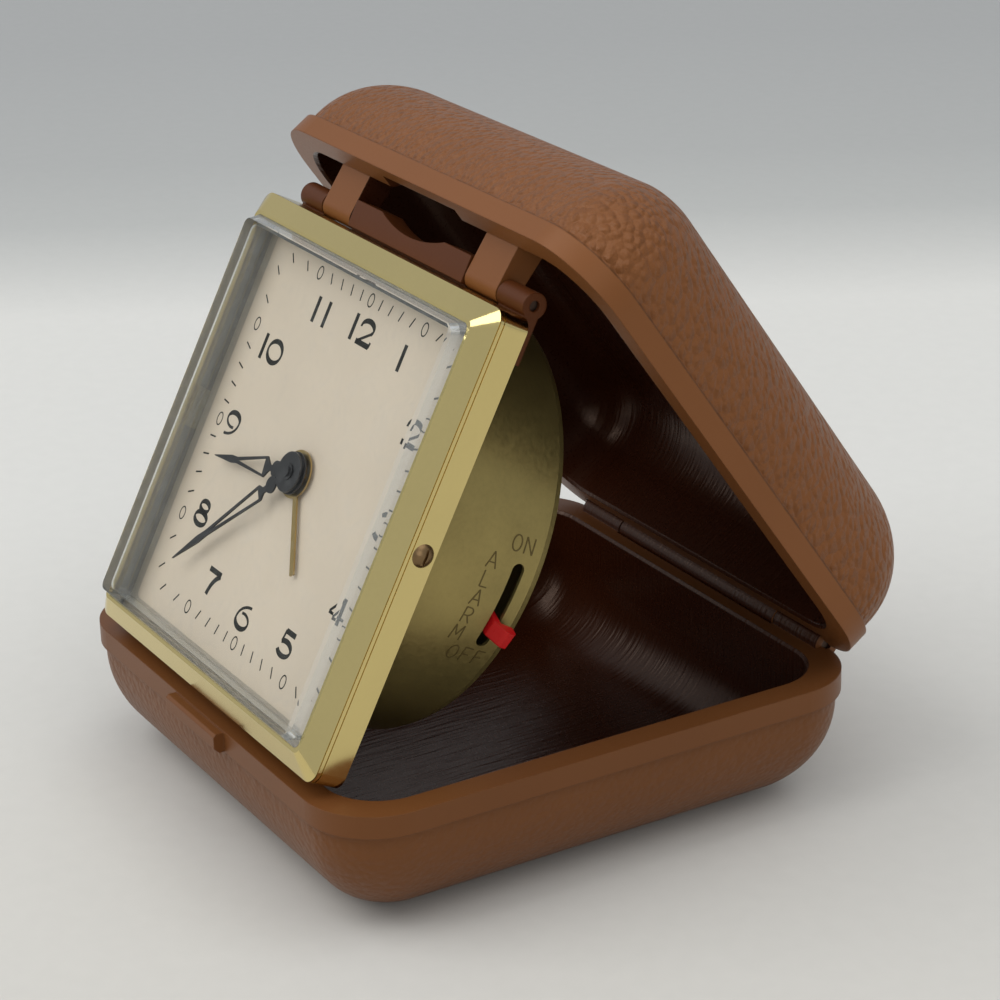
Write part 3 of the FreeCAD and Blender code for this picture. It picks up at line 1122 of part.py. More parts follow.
def make_escapement():
    """Pallet lever with two pins and a fork, balance, staff and hairspring."""
    low, high = "-pallet_level", "-pallet_level + pallet_thickness"
    pin_circle = "escape_radius + pallet_pin + pallet_pin_gap"
    toward = "pallet_angle + 180"
    parts = [arbor_between_plates("pallet_arbor"), rod("pallet_hub", "pallet_width", low, high)]
    for side, sign in (("left", "-"), ("right", "")):
        x = "pallet_distance * cos(pallet_angle + 180) + (%s) * cos(pallet_angle %s pallet_spread)" \
            % (pin_circle, sign or "+")
        y = "pallet_distance * sin(pallet_angle + 180) + (%s) * sin(pallet_angle %s pallet_spread)" \
            % (pin_circle, sign or "+")
        parts.append(rod("pallet_pin_" + side, "pallet_pin", "-escape_level - pallet_thickness", high, x, y))
        reach = math.hypot(value(x), value(y))
        direction = math.degrees(math.atan2(value(y), value(x)))
        foot = rod("pallet_pad_" + side, "pallet_width / 2", low, high, x, y)
        parts.append(foot)
        width = value("pallet_width") * PIN_ARM_SHARE
        arm = Part.makeBox(reach, width, value("pallet_thickness"), Vector(0, -width / 2, value(low)))
        arm.rotate(Vector(0, 0, 0), Vector(0, 0, 1), direction)
        parts.append(solid_of("pallet_arm_" + side, arm))
    fork = lever_bar("pallet_fork", "pallet_width * %g" % FORK_SHARE,
                     "balance_distance - roller_distance + 3 * roller_pin",
                     low, high, "balance_angle")
    notch_half = "roller_pin + fork_gap"
    notch = block("pallet_notch_flat", ("balance_distance - roller_distance - 3 * roller_pin",
                                        "-(%s)" % notch_half, "%s - overrun" % low),
                  ("balance_distance", notch_half, "%s + overrun" % high))
    fork = cut("pallet_fork_cut", fork, turn_about("pallet_notch", notch, "balance_angle"))
    piece("pallet_lever", CLOCK_FRAME, at("pallet", PALLET, fuse("pallet_whole", fork, *parts)))
    foot, top = "-balance_level", "-balance_level + balance_thickness"
    rim = cut("balance_rim_ring", rod("balance_disc", "balance_radius", foot, top),
              rod("balance_room", "balance_radius - balance_rim", "%s - overrun" % foot,
                  "%s + overrun" % top))
    spoke = block("balance_spoke", ("-balance_radius + balance_rim / 2", "-balance_rim / 2", foot),
                  ("balance_radius - balance_rim / 2", "balance_rim / 2", top))
    hub = rod("balance_hub", "2 * balance_staff", foot, top)
    roller = rod("balance_roller_pin", "roller_pin", "-pallet_level - pallet_thickness", foot,
                 "roller_distance")
    staff_bore = rod("balance_bore", "balance_staff + seat_gap", "%s - overrun" % foot, "%s + overrun" % top)
    wheel = cut("balance_wheel_cut", fuse("balance_whole", rim, spoke, hub, roller), staff_bore)
    piece("balance_wheel", CLOCK_FRAME, at("balance", BALANCE, wheel))
    reach = "cup_reach + shoulder_gap"
    staff = rod("staff_rod", "balance_staff", "%s + %s" % (BACK_PLATE_TOP, reach),
                "-plate_thickness - (%s)" % reach,
                *BALANCE)
    piece("balance_staff", CLOCK_FRAME, staff)
    cups = [rod("cup_screw_back", "cup_screw", "%s - cup_head" % BACK_PLATE_FOOT,
                "%s + cup_reach" % BACK_PLATE_TOP,
                *BALANCE),
            rod("cup_screw_front", "cup_screw", "-plate_thickness - cup_reach", "cup_head", *BALANCE)]
    piece("balance_cup_screws", CLOCK_FRAME, *cups)
    coil = spiral("hairspring_coil", "hairspring_inner", "hairspring_radius", "hairspring_turns",
                  "hairspring_ribbon", "-hairspring_level", "-hairspring_level + hairspring_height",
                  *BALANCE, start=value("balance_angle"))
    collet = rod("hairspring_collet_disc", "hairspring_inner + hairspring_ribbon / 2", "-hairspring_level",
                 "-hairspring_level + hairspring_height", *BALANCE)
    bore = rod("hairspring_collet_bore", "balance_staff + seat_gap", "-hairspring_level - overrun",
               "-hairspring_level + hairspring_height + overrun", *BALANCE)
    piece("hairspring", CLOCK_FRAME, cut("hairspring_cut", fuse("hairspring_whole", coil, collet), bore))


# Motion work and hands

def make_motion_work():
    """Centre arbor, cannon pinion, minute wheel, hour wheel and alarm wheel."""
    arbor = rod("centre_arbor_rod", "centre_arbor", "-drum_depth - key_gap - knob_height + seat_gap",
                "arbor_top")
    piece("centre_arbor", CLOCK_FRAME, arbor)
    bore = "centre_arbor + seat_gap"
    pipe = cut("cannon_pipe_cut", rod("cannon_pipe_rod", "cannon_pipe", "cannon_level", "cannon_top"),
               rod("cannon_bore", bore, "-overrun", "cannon_top + overrun"))
    leaves = gear("cannon_leaves_ring", "motion_module", "cannon_leaves", "cannon_level",
                  "cannon_level + motion_thickness + seat_gap", bore, value("minute_angle"))
    piece("cannon_pinion", CLOCK_FRAME, fuse("cannon_whole", pipe, leaves))
    stud_bore = "minute_stud + running_gap"
    low = "cannon_level + seat_gap"
    minute = fuse("minute_whole",
                  gear("minute_ring", "motion_module", "minute_teeth", low, "%s + motion_thickness" % low,
                       stud_bore,
                       leaf_phase("minute_angle", "minute_teeth")),
                  gear("minute_pinion", "%s / (minute_leaves + hour_teeth) * 2"
                       % mesh("motion_module", "cannon_leaves", "minute_teeth"), "minute_leaves",
                       "%s + motion_thickness" % low, "hour_level + motion_thickness + seat_gap", stud_bore,
                       value("minute_angle") + 180))
    piece("minute_wheel", CLOCK_FRAME, at("minute", MINUTE, minute))
    hour_bore = "cannon_pipe + pipe_gap"
    pipe = cut("hour_pipe_cut", rod("hour_pipe_rod", "hour_pipe", "hour_level", "hour_top"),
               rod("hour_bore", hour_bore, "-overrun", "hour_top + overrun"))
    teeth = gear("hour_ring", "%s / (minute_leaves + hour_teeth) * 2"
                 % mesh("motion_module", "cannon_leaves", "minute_teeth"), "hour_teeth", "hour_level",
                 "hour_level + motion_thickness", hour_bore,
                 value("minute_angle") + 180 / value("hour_teeth"))
    piece("hour_wheel", CLOCK_FRAME, fuse("hour_whole", pipe, teeth))
    alarm_bore = "hour_pipe + pipe_gap"
    pipe = cut("alarm_pipe_cut", rod("alarm_pipe_rod", "alarm_pipe", "alarm_level", "alarm_top"),
               rod("alarm_bore", alarm_bore, "-overrun", "alarm_top + overrun"))
    teeth = gear("alarm_ring", "alarm_module", "alarm_teeth", "alarm_level", "alarm_level + motion_thickness",
                 alarm_bore, value("setting_angle"))
    piece("alarm_wheel", CLOCK_FRAME, fuse("alarm_whole", pipe, teeth))
    pinion = gear("setting_pinion", "alarm_module", "setting_leaves", "alarm_level - seat_gap",
                  "alarm_level + motion_thickness + seat_gap", "0",
                  leaf_phase("setting_angle", "setting_leaves"))
    shaft = rod("setting_rod", "arbor", "-drum_depth - key_gap - knob_height + seat_gap",
                "alarm_level + motion_thickness + seat_gap")
    piece("alarm_setting_arbor", CLOCK_FRAME, at("setting", SETTING, fuse("setting_whole", pinion, shaft)))


LEAF_SHARE = 1.25


def skeleton_hand(label, bore):
    """A hand with a lobe, a flared neck, an open middle and a leaf-shaped tip, pointing to its time."""
    kind = label.split("_")[0]
    level, length, width = label + "_level", label + "_length", label + "_width"
    hub, neck, rails = kind + "_hub", kind + "_neck", kind + "_rails"
    top = "%s + hand_thickness" % level
    half = [("hand_tip / 2", "%s / 2" % hub), ("hand_tip / 2", "%s - %s / 2 + hand_tip / 2" % (neck, width)),
            ("%s / 2" % width, neck), ("hand_tip / 2", rails),
            ("hand_tip / 2 * %g" % LEAF_SHARE, "%s + (%s - %s) / 4" % (rails, length, rails)),
            ("hand_thickness / 4", length)]
    blade = prism(label + "_blade", "XY_Plane", half + [("-(%s)" % x, y) for x, y in half[::-1]], level, top)
    open_half = "%s / 2 - hand_rail" % width
    window = prism(label + "_window", "XY_Plane",
                   [("-(%s)" % open_half, "%s + hand_rail" % neck), (open_half, "%s + hand_rail" % neck),
                    ("0", "%s - hand_rail" % rails)], "%s - overrun" % level, "%s + overrun" % top)
    disc = rod(label + "_disc", hub, level, top)
    lobe = rod(label + "_lobe", "hand_lobe", level, top, "0", "%s + hand_lobe" % hub)
    hole = rod(label + "_hole", "%s + seat_gap" % bore, "%s - overrun" % level, "%s + overrun" % top)
    blank = fuse(label + "_blank", cut(label + "_open", blade, window), lobe, disc)
    hand = cut(label + "_bored", blank, hole)
    piece(label, CLOCK_FRAME, turn_about(label + "_turned", hand, "-%s_turn" % label))


def make_hands():
    """Hour, minute and alarm hands on their pipes."""
    skeleton_hand("minute_hand", "cannon_pipe")
    skeleton_hand("hour_hand", "hour_pipe")
    low, top = "alarm_hand_level", "alarm_hand_level + hand_thickness"
    stick = block("alarm_hand_stick", ("-alarm_hand_width / 2", "alarm_pipe", low),
                  ("alarm_hand_width / 2", "alarm_hand_length", top))
    disc = rod("alarm_hand_disc", "alarm_hub", low, top)
    hole = rod("alarm_hand_hole", "alarm_pipe + seat_gap", "%s - overrun" % low, "%s + overrun" % top)
    hand = cut("alarm_hand_bored", fuse("alarm_hand_blank", stick, disc), hole)
    piece("alarm_hand", CLOCK_FRAME, turn_about("alarm_hand_turned", hand, "-alarm_hand_turn"))


# Springs, winding and alarm

def winding_arbor(label, place_of, spring):
    """Winding arbor with its spring core and square end, and its mainspring."""
    low = "-drum_depth - key_gap - key_height + seat_gap"
    shaft = rod(label + "_shaft", "winding_arbor", low, "-shoulder_gap")
    core = rod(label + "_core", "spring_core", "-spring_level", "-spring_level + spring_height")
    piece(label + "_winding_arbor", CLOCK_FRAME,
          at(label + "_arbor_moved", place_of, fuse(label + "_arbor", shaft, core)))
    coil = spiral(label + "_coil", "spring_core + part_gap", spring, "spring_turns", "ribbon",
                  "-spring_level",
                  "-spring_level + spring_height", *place_of)
    piece(label + "_mainspring", CLOCK_FRAME, coil)


def make_alarm_train():
    """Alarm great wheel, star wheel and hammer with its two verge pins."""
    great = gear("alarm_great_ring", "alarm_great_module", "alarm_great_teeth", "-great_level",
                 "-great_level + great_thickness", "winding_arbor + running_gap", value("star_angle"),
                 lightened=True)
    piece("alarm_great_wheel", CLOCK_FRAME, at("alarm_great", ALARM_GREAT, great))
    star = fuse("star_whole",
                pointed_wheel("star_ring", "star_radius", "star_teeth", "-star_level",
                              "-star_level + wheel_thickness",
                              value("verge_angle") + 90 / value("star_teeth")),
                gear("star_pinion", "alarm_great_module", "train_leaves", "-great_level - part_gap",
                     "-star_level", "0", leaf_phase("star_angle", "train_leaves")),
                arbor_between_plates("star_arbor"))
    piece("alarm_star_wheel", CLOCK_FRAME, at("star", STAR, star))
    low, high = "-star_level + wheel_thickness + part_gap", "-star_level + wheel_thickness + part_gap + hammer_thickness"
    pin_circle = "star_radius + verge_pin + verge_pin_gap"
    parts = [arbor_between_plates("hammer_arbor"), rod("hammer_hub", "hammer_width", low, high)]
    for side, sign in (("left", "-"), ("right", "+")):
        x = "verge_distance * cos(verge_angle + 180) + (%s) * cos(verge_angle %s verge_spread)" % (pin_circle,
                                                                                                   sign)
        y = "verge_distance * sin(verge_angle + 180) + (%s) * sin(verge_angle %s verge_spread)" % (pin_circle,
                                                                                                   sign)
        parts.append(rod("verge_pin_" + side, "verge_pin", "-star_level - wheel_thickness", high, x, y))
        parts.append(rod("verge_pad_" + side, "hammer_width / 2", low, high, x, y))
        reach = math.hypot(value(x), value(y))
        width = value("hammer_width") * PIN_ARM_SHARE
        arm = Part.makeBox(reach, width, value("hammer_thickness"), Vector(0, -width / 2, value(low)))
        arm.rotate(Vector(0, 0, 0), Vector(0, 0, 1), math.degrees(math.atan2(value(y), value(x))))
        parts.append(solid_of("verge_arm_" + side, arm))
    parts.append(lever_bar("hammer_arm", "hammer_width", "hammer_length", low, high, "hammer_angle"))
    parts.append(rod("hammer_head_rod", "hammer_head", "%s - hammer_head_height / 2" % low,
                     "%s + hammer_head_height / 2" % low, *polar(CENTRE, "hammer_length", "hammer_angle")))
    piece("alarm_hammer", CLOCK_FRAME, at("hammer", VERGE, fuse("hammer_whole", *parts)))


def make_shutoff():
    """Red alarm lever: an eye on its stud and a tip through the drum's slot."""
    middle = "-slot_level"
    low, high = "%s - shutoff_thickness / 2" % middle, "%s + shutoff_thickness / 2" % middle
    wall = "drum_radius - shutoff_distance"
    bend = "%s + shutoff_bend" % wall
    tip = "%s + shutoff_tip" % wall
    tab_low, tab_high = "%s - shutoff_drop - shutoff_tab / 2" % middle, "%s - shutoff_drop + shutoff_tab / 2" % middle
    arm = prism("shutoff_profile", "XZ_Plane",
                [("0", low), (bend, low), ("%s - shutoff_tab" % tip, tab_low),
                 ("%s - shutoff_tab / 4" % tip, tab_low),
                 (tip, "%s + shutoff_tab / 4" % tab_low), (tip, "%s - shutoff_tab / 4" % tab_high),
                 ("%s - shutoff_tab / 4" % tip, tab_high), (bend, high), ("0", high)],
                "-shutoff_width / 2", "shutoff_width / 2")
    eye = rod("shutoff_eye_rod", "shutoff_eye", low, high)
    bore = rod("shutoff_bore", "shutoff_stud + running_gap", "%s - overrun" % low, "%s + overrun" % high)
    lever = cut("shutoff_bored", fuse("shutoff_blank", arm, eye), bore)
    middle_angle = value("(slot_top_angle + slot_low_angle) / 2")
    off_middle = math.radians(value("shutoff_angle") - middle_angle)
    radius, stud = value("drum_radius"), value("shutoff_distance")
    swing = math.degrees(math.atan2(radius * math.sin(off_middle), radius * math.cos(off_middle) - stud))
    piece("alarm_shutoff_lever", CLOCK_FRAME,
          turn_about("shutoff_turned", lever, "%g" % (middle_angle + swing),
                                                         *SHUTOFF))


def make_regulator():
    """Regulator: an eye round the cup screw, an arm and a finger."""
    top = "%s - seat_gap" % BACK_PLATE_FOOT
    low = "%s - regulator_thickness" % top
    eye = rod("regulator_eye_disc", "regulator_eye", low, top)
    arm = lever_bar("regulator_arm", "regulator_width", "regulator_reach", low, top, "regulator_angle")
    finger = rod("regulator_finger_rod", "regulator_finger", "-drum_depth - finger_stand", top,
                 *polar(CENTRE, "regulator_reach", "regulator_angle"))
    bore = rod("regulator_bore", "cup_screw + running_gap", "%s - overrun" % low, "%s + overrun" % top)
    whole = cut("regulator_bored", fuse("regulator_blank", eye, arm, finger), bore)
    piece("regulator_lever", CLOCK_FRAME, at("regulator", BALANCE, whole))


def winding_key(label, place_of, angle):
    """A flat two-winged key on the end of a winding arbor."""
    high = "-drum_depth - key_gap"
    low = "%s - key_height" % high
    hub = rod(label + "_hub", "key_hub", low, high)
    wings = prism(label + "_wings", "XZ_Plane",
                  [("-key_length / 2", "%s + key_height / 3" % low),
                   ("-key_length / 2 + key_height / 3", low),
                   ("key_length / 2 - key_height / 3", low), ("key_length / 2", "%s + key_height / 3" % low),
                   ("key_length / 2", "%s - key_height / 3" % high), ("key_hub", high),
                   ("-key_hub", high), ("-key_length / 2", "%s - key_height / 3" % high)],
                  "-key_thickness / 2", "key_thickness / 2")
    bore = rod(label + "_bore", "winding_arbor + seat_gap", low, "%s + overrun" % high)
    whole = cut(label + "_bored", fuse(label + "_blank", hub, wings), bore)
    piece(label, CLOCK_FRAME, turn_about(label + "_turned", whole, angle, *place_of))


def setting_knob(label, place_of, bore_radius):
    """A ribbed round knob on the end of a setting arbor."""
    high = "-drum_depth - key_gap"
    low = "%s - knob_height" % high
    blank = rod(label + "_blank", "knob_radius", low, high)
    grooves = []
    count = round(value("knob_ribs"))
    for index in range(count):
        x, y = polar(CENTRE, "knob_radius", "%g" % (360 * index / count))
        grooves.append(rod("%s_groove_%d" % (label, index), "knob_rib", "%s - overrun" % low,
                           "%s + overrun" % high, x, y))
    bore = rod(label + "_bore", "%s + seat_gap" % bore_radius, low, "%s + overrun" % high)
    piece(label, CLOCK_FRAME, at(label + "_moved", place_of, cut(label + "_cut", blank, bore, *grooves)))


def make_winding():
    """Arbors and springs of both trains, keys and knobs behind the drum."""
    winding_arbor("time", GREAT, "time_spring")
    winding_arbor("alarm", ALARM_GREAT, "alarm_spring")
    winding_key("time_winding_key", GREAT, "great_angle + 90")
    winding_key("alarm_winding_key", ALARM_GREAT, "alarm_great_angle + 90")
    setting_knob("time_set_knob", CENTRE, "centre_arbor")
    setting_knob("alarm_set_knob", SETTING, "arbor")


def check():
    """Stops if an object failed or a finished piece is not sound."""
    for thing in doc.Objects:
        if {"Invalid", "Error"} & set(thing.State):
            raise RuntimeError("%s is %s" % (thing.Name, thing.State))
    for holder in pieces:
        shape = holder.Shape
        if shape.isNull() or not shape.isValid() or not shape.Solids:
            raise RuntimeError("%s has no sound shape" % holder.Label)


make_base()
make_lid()
make_hinge_pins()
make_bracket()
make_bezel()
make_crystal()
make_dial()
make_drum()
make_plates()
make_time_train()
make_escapement()
make_motion_work()
make_hands()
make_winding()
make_alarm_train()
make_shutoff()
make_regulator()
doc.recompute()
check()

os.makedirs("parts", exist_ok=True)
for holder in pieces:
    holder.Shape.exportStep("parts/%s.step" % holder.Label)
    print("%-22s %2d solids %9.2f mm3" % (holder.Label, len(holder.Shape.Solids), holder.Shape.Volume))
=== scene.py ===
"""Looks of the folding travel alarm clock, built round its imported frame.

Lengths are millimetres in the clock's own frame (X to the right, Y up the dial, Z out of the
dial, origin at the dial's centre on the bezel's back edge) unless a comment says otherwise.
They become metres in the row frame when a mesh is made.
"""
import json
import math

import bpy
import numpy as np
from bpy.props import FloatProperty, FloatVectorProperty, PointerProperty
from mathutils import Matrix, Vector


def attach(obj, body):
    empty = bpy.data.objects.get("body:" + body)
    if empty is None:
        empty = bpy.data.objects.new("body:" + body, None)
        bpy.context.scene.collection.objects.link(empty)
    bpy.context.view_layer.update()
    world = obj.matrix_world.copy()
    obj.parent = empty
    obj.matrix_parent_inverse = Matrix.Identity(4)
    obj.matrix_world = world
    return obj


bl_info = {
    "name": "Folding travel alarm clock",
    "version": (1, 0, 0),
    "blender": (4, 5, 0),
    "location": "View3D > Sidebar > Travel Clock",
    "description": "Printed dial, finishes and studio of a folding travel alarm clock",
    "category": "Object",
}

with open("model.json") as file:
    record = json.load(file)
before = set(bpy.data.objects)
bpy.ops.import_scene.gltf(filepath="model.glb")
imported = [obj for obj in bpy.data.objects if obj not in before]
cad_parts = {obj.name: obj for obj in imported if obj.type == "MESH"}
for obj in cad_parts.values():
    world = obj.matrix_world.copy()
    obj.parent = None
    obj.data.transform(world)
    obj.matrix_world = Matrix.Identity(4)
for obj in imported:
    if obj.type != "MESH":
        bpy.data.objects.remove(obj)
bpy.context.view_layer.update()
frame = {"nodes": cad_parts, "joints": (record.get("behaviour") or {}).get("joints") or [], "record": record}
NODES = frame["nodes"]
JOINTS = {joint["name"]: joint for joint in frame["joints"]}

MM = 0.001
RIGHT = np.array((1.0, 0.0, 0.0))
CLOCK_ORIGIN = np.array(JOINTS["hand_setting"]["pos_m"])
CLOCK_NORMAL = np.array(JOINTS["hand_setting"]["axis"])
CLOCK_UP = np.cross(CLOCK_NORMAL, RIGHT)
CLOCK_AXES = np.array((RIGHT, CLOCK_UP, CLOCK_NORMAL))

# The base stands centred on the row frame's origin, and the lid's centre is as far from the rear
# axis as the base's. Both of these are metres.
REAR_AXIS = np.array(JOINTS["lid_hinge"]["pos_m"])
CENTRE_DISTANCE = REAR_AXIS[1]

# Sizes of the CAD that the frame doesn't name
DIAL_FRONT = 2.5
DRUM_RADIUS = 31.1
RIM_BAND = 3.2  # height of the smooth band along the rim of each half
LID_ANGLE = math.radians(55.1)  # between the rim planes of the two halves


def linear(code):
    """An sRGB hex colour as linear red, green and blue."""
    parts = np.array([int(code[i:i + 2], 16) for i in (1, 3, 5)]) / 255
    return tuple(np.where(parts <= 0.04045, parts / 12.92, ((parts + 0.055) / 1.055) ** 2.4))


def rgba(colour):
    """A linear colour with full alpha."""
    return (*tuple(colour)[:3], 1.0)


def darker(colour, share):
    """A linear colour brought down to a share of its strength."""
    return tuple(part * share for part in colour)


def per_metre(size):
    """Scale of a pattern whose marks are `size` millimetres across."""
    return 1 / (size * MM)


def clock_to_row(points):
    """Points of the clock's frame in millimetres, as metres in the row frame."""
    return CLOCK_ORIGIN + MM * np.asarray(points) @ CLOCK_AXES


# Meshes

def mesh_object(name, points, faces):
    """An object at the origin from points in the row frame and faces as index arrays."""
    mesh = bpy.data.meshes.new(name)
    mesh.from_pydata(points.reshape(-1, 3), [], faces)
    mesh.validate()
    mesh.update()
    mesh.shade_flat()
    thing = bpy.data.objects.new(name, mesh)
    bpy.context.scene.collection.objects.link(thing)
    return thing


def tube_faces(count, rings, corners, closed):
    """Faces of `count` tubes of `rings` rings with `corners` corners each.

    Corner (r, c) joins to (r + 1, c) and to (r, c + 1), where c runs round the ring. A closed
    tube also joins its last ring to its first, and an open one gets a cap at each end.
    """
    index = np.arange(count * rings * corners).reshape(count, rings, corners)
    around = np.roll(index, -1, axis=2)
    if closed:
        ahead, ahead_around = np.roll(index, -1, axis=1), np.roll(around, -1, axis=1)
        quads = np.stack((index, around, ahead_around, ahead), axis=-1)
        return quads.reshape(-1, 4).tolist()
    quads = np.stack((index[:, :-1], around[:, :-1], around[:, 1:], index[:, 1:]), axis=-1)
    caps = index[:, 0, ::-1].tolist() + index[:, -1].tolist()
    return quads.reshape(-1, 4).tolist() + caps


def ribbons(paths, half_widths, low, high, closed=False):
    """Flat ribbons along paths in a plane, from height low to high.

    paths has the shape (count, steps, 2). At each step the ribbon's edges lie half its width to
    either side of the path, across its direction: edge = point +/- half * normal. The section
    is the rectangle between the two edges and the two heights.
    """
    along = np.gradient(paths, axis=1)
    if closed:
        along = np.roll(paths, -1, axis=1) - np.roll(paths, 1, axis=1)
    along = along / np.linalg.norm(along, axis=2, keepdims=True)
    across = np.stack((-along[..., 1], along[..., 0]), axis=-1) * half_widths[..., None]
    left, right = paths + across, paths - across
    section = np.stack((left, left, right, right), axis=2)
    heights = np.broadcast_to(np.array((low, high, high, low)), section.shape[:3])[..., None]
    points = np.concatenate((section, heights), axis=-1)
    count, rings, corners = section.shape[:3]
    return points.reshape(-1, 3), tube_faces(count, rings, corners, closed)


def joined(*parts):
    """Several (points, faces) pairs as one."""
    points, faces, start = [], [], 0
    for some_points, some_faces in parts:
        points.append(some_points)
        faces += [[start + corner for corner in face] for face in some_faces]
        start += len(some_points)
    return np.concatenate(points), faces


# Strokes of the numerals and letters, in a box one unit high and centred on x = 0

PATH_STEPS = 28
PEN_TILT = math.radians(-12)
PEN_POWER = 1.5


def line(x0, y0, x1, y1):
    """A straight stroke: point = start + t * (end - start)."""
    t = np.linspace(0, 1, PATH_STEPS)[:, None]
    return np.array((x0, y0)) + t * np.array((x1 - x0, y1 - y0))


def arc(x, y, radius_x, radius_y, start, end):
    """Part of an ellipse: point = centre + (rx cos a, ry sin a) for a from start to end."""
    angle = np.radians(np.linspace(start, end, PATH_STEPS))
    return np.stack((x + radius_x * np.cos(angle), y + radius_y * np.sin(angle)), axis=1)


def pen(path, kind, stem, hair):
    """Half width of a stroke along its path.

    A stem and a hair keep their width. Between them the pen gives
    hair + (stem - hair) * |cos(direction - PEN_TILT)| ^ PEN_POWER.
    """
    if kind != "pen":
        return np.full(PATH_STEPS, (stem if kind == "stem" else hair) / 2)
    along = np.gradient(path, axis=0)
    direction = np.arctan2(along[:, 1], along[:, 0])
    return (hair + (stem - hair) * np.abs(np.cos(direction - PEN_TILT)) ** PEN_POWER) / 2


# Digits, drawn with a broad pen
DIGITS = {
    "0": [(arc(0, 0.5, 0.52, 0.41, 90, 450), "pen")],
    "1": [(line(0, 0, 0, 1), "stem")],
    "2": [(arc(0, 0.68, 0.44, 0.25, 190, -35), "pen"), (line(0.36, 0.54, -0.45, 0.07), "hair"),
          (line(-0.48, 0.08, 0.48, 0.08), "stem"), (line(0.46, 0.05, 0.5, 0.26), "hair")],
    "3": [(arc(-0.02, 0.74, 0.36, 0.2, 155, -90), "pen"), (arc(-0.02, 0.27, 0.46, 0.24, 90, -155), "pen")],
    "4": [(line(0.17, 0, 0.17, 1), "stem"), (line(0.15, 0.97, -0.5, 0.3), "hair"),
          (line(-0.52, 0.27, 0.48, 0.27), "hair")],
    "5": [(line(-0.26, 0.92, 0.42, 0.92), "stem"), (line(-0.25, 0.95, -0.32, 0.5), "hair"),
          (arc(-0.02, 0.31, 0.46, 0.27, 135, -155), "pen")],
    "7": [(line(-0.46, 0.92, 0.46, 0.92), "stem"), (arc(0.75, -0.16, 0.86, 1.1, 110, 172), "stem")],
    "8": [(arc(0, 0.74, 0.34, 0.2, 90, 450), "pen"), (arc(0, 0.27, 0.46, 0.24, 90, 450), "pen")],
    "9": [(arc(0, 0.66, 0.46, 0.28, 290, 180), "hair"), (arc(0, 0.66, 0.46, 0.28, 180, 0), "pen"),
          (arc(-0.4, 0.66, 0.86, 0.6, 0, -88), "hair")],
}
# The 6 is the 9 after half a turn: (x, y) becomes (-x, 1 - y)
DIGITS["6"] = [(np.stack((-path[:, 0], 1 - path[:, 1]), axis=1), kind) for path, kind in DIGITS["9"]]
ADVANCE = {"1": 0.79}  # width in heights of a digit that isn't as wide as it is high

# Capitals, engraved with a single line
CAPITALS = {
    "O": [arc(0, 0.5, 0.32, 0.48, 90, 450)],
    "N": [line(-0.3, 0, -0.3, 1), line(-0.3, 1, 0.3, 0), line(0.3, 0, 0.3, 1)],
    "A": [line(-0.36, 0, 0, 1), line(0, 1, 0.36, 0), line(-0.22, 0.34, 0.22, 0.34)],
    "L": [line(-0.22, 1, -0.22, 0), line(-0.22, 0, 0.3, 0)],
    "R": [line(-0.28, 0, -0.28, 1), arc(-0.02, 0.74, 0.3, 0.26, 90, -90), line(-0.28, 1, -0.02, 1),
          line(-0.28, 0.48, -0.02, 0.48), line(0, 0.48, 0.3, 0)],
    "M": [line(-0.36, 0, -0.3, 1), line(-0.3, 1, 0, 0.3), line(0, 0.3, 0.3, 1), line(0.3, 1, 0.36, 0)],
    "F": [line(-0.24, 0, -0.24, 1), line(-0.24, 1, 0.3, 1), line(-0.24, 0.52, 0.2, 0.52)],
}


def number_strokes(number, height):
    """Strokes of a number centred on the origin, each digit as wide as its advance."""
    widths = [ADVANCE.get(digit, 1.0) * height for digit in number]
    start = -sum(widths) / 2
    found = []
    for digit, width in zip(number, widths):
        corner = np.array((start + width / 2, -height / 2))
        found += [(path * height + corner, kind) for path, kind in DIGITS[digit]]
        start += width
    return found


def square_point(turn, half):
    """Where a ray at a clockwise angle from twelve meets a square of that half width: (point, ray)."""
    angle = math.radians(turn)
    ray = np.array((math.sin(angle), math.cos(angle)))
    return ray * half / np.abs(ray).max(), ray


# Materials

def feed(tree, node, **inputs):
    """Gives a node its inputs, each a value or another node's output.

    i and a number is the socket with that index. Any other name is the socket's own, with an
    underscore for each space.
    """
    for key, given in inputs.items():
        socket = node.inputs[int(key[1:])] if key[1:].isdigit() else node.inputs[key.replace("_", " ")]
        if isinstance(given, bpy.types.NodeSocket):
            tree.links.new(given, socket)
        else:
            socket.default_value = given


def add(tree, kind, settings=None, stops=(), **inputs):
    """A node with its settings, its inputs and, on a colour ramp, its (place, colour) stops."""
    node = tree.nodes.new(kind)
    for key, setting in (settings or {}).items():
        setattr(node, key, setting)
    for _ in stops[2:]:
        node.color_ramp.elements.new(0.5)
    for index, (place, colour) in enumerate(stops):
        node.color_ramp.elements[index].position = place
        node.color_ramp.elements[index].color = rgba(colour)
    feed(tree, node, **inputs)
    return node


def material(name):
    """An empty material with its principled shader: (material, tree, shader)."""
    made = bpy.data.materials.new(name)
    made.use_nodes = True
    tree = made.node_tree
    tree.nodes.clear()
    shader = add(tree, "ShaderNodeBsdfPrincipled")
    add(tree, "ShaderNodeOutputMaterial", Surface=shader.outputs["BSDF"])
    return made, tree, shader


# Moulded plastic: its index, and the warm tone of its highlights
PLASTIC_IOR = 1.52
PLASTIC_SHINE = rgba(linear("#ffdcc4"))

# The case's pressed grain: a pebble's width, how far outlines wander in what length, and the
# finer skin over it with its share of the relief
PEBBLE = 1.1
WANDER_LENGTH, WANDER_REACH = 2.4, 0.7
SKIN, SKIN_SHARE = 0.4, 0.2

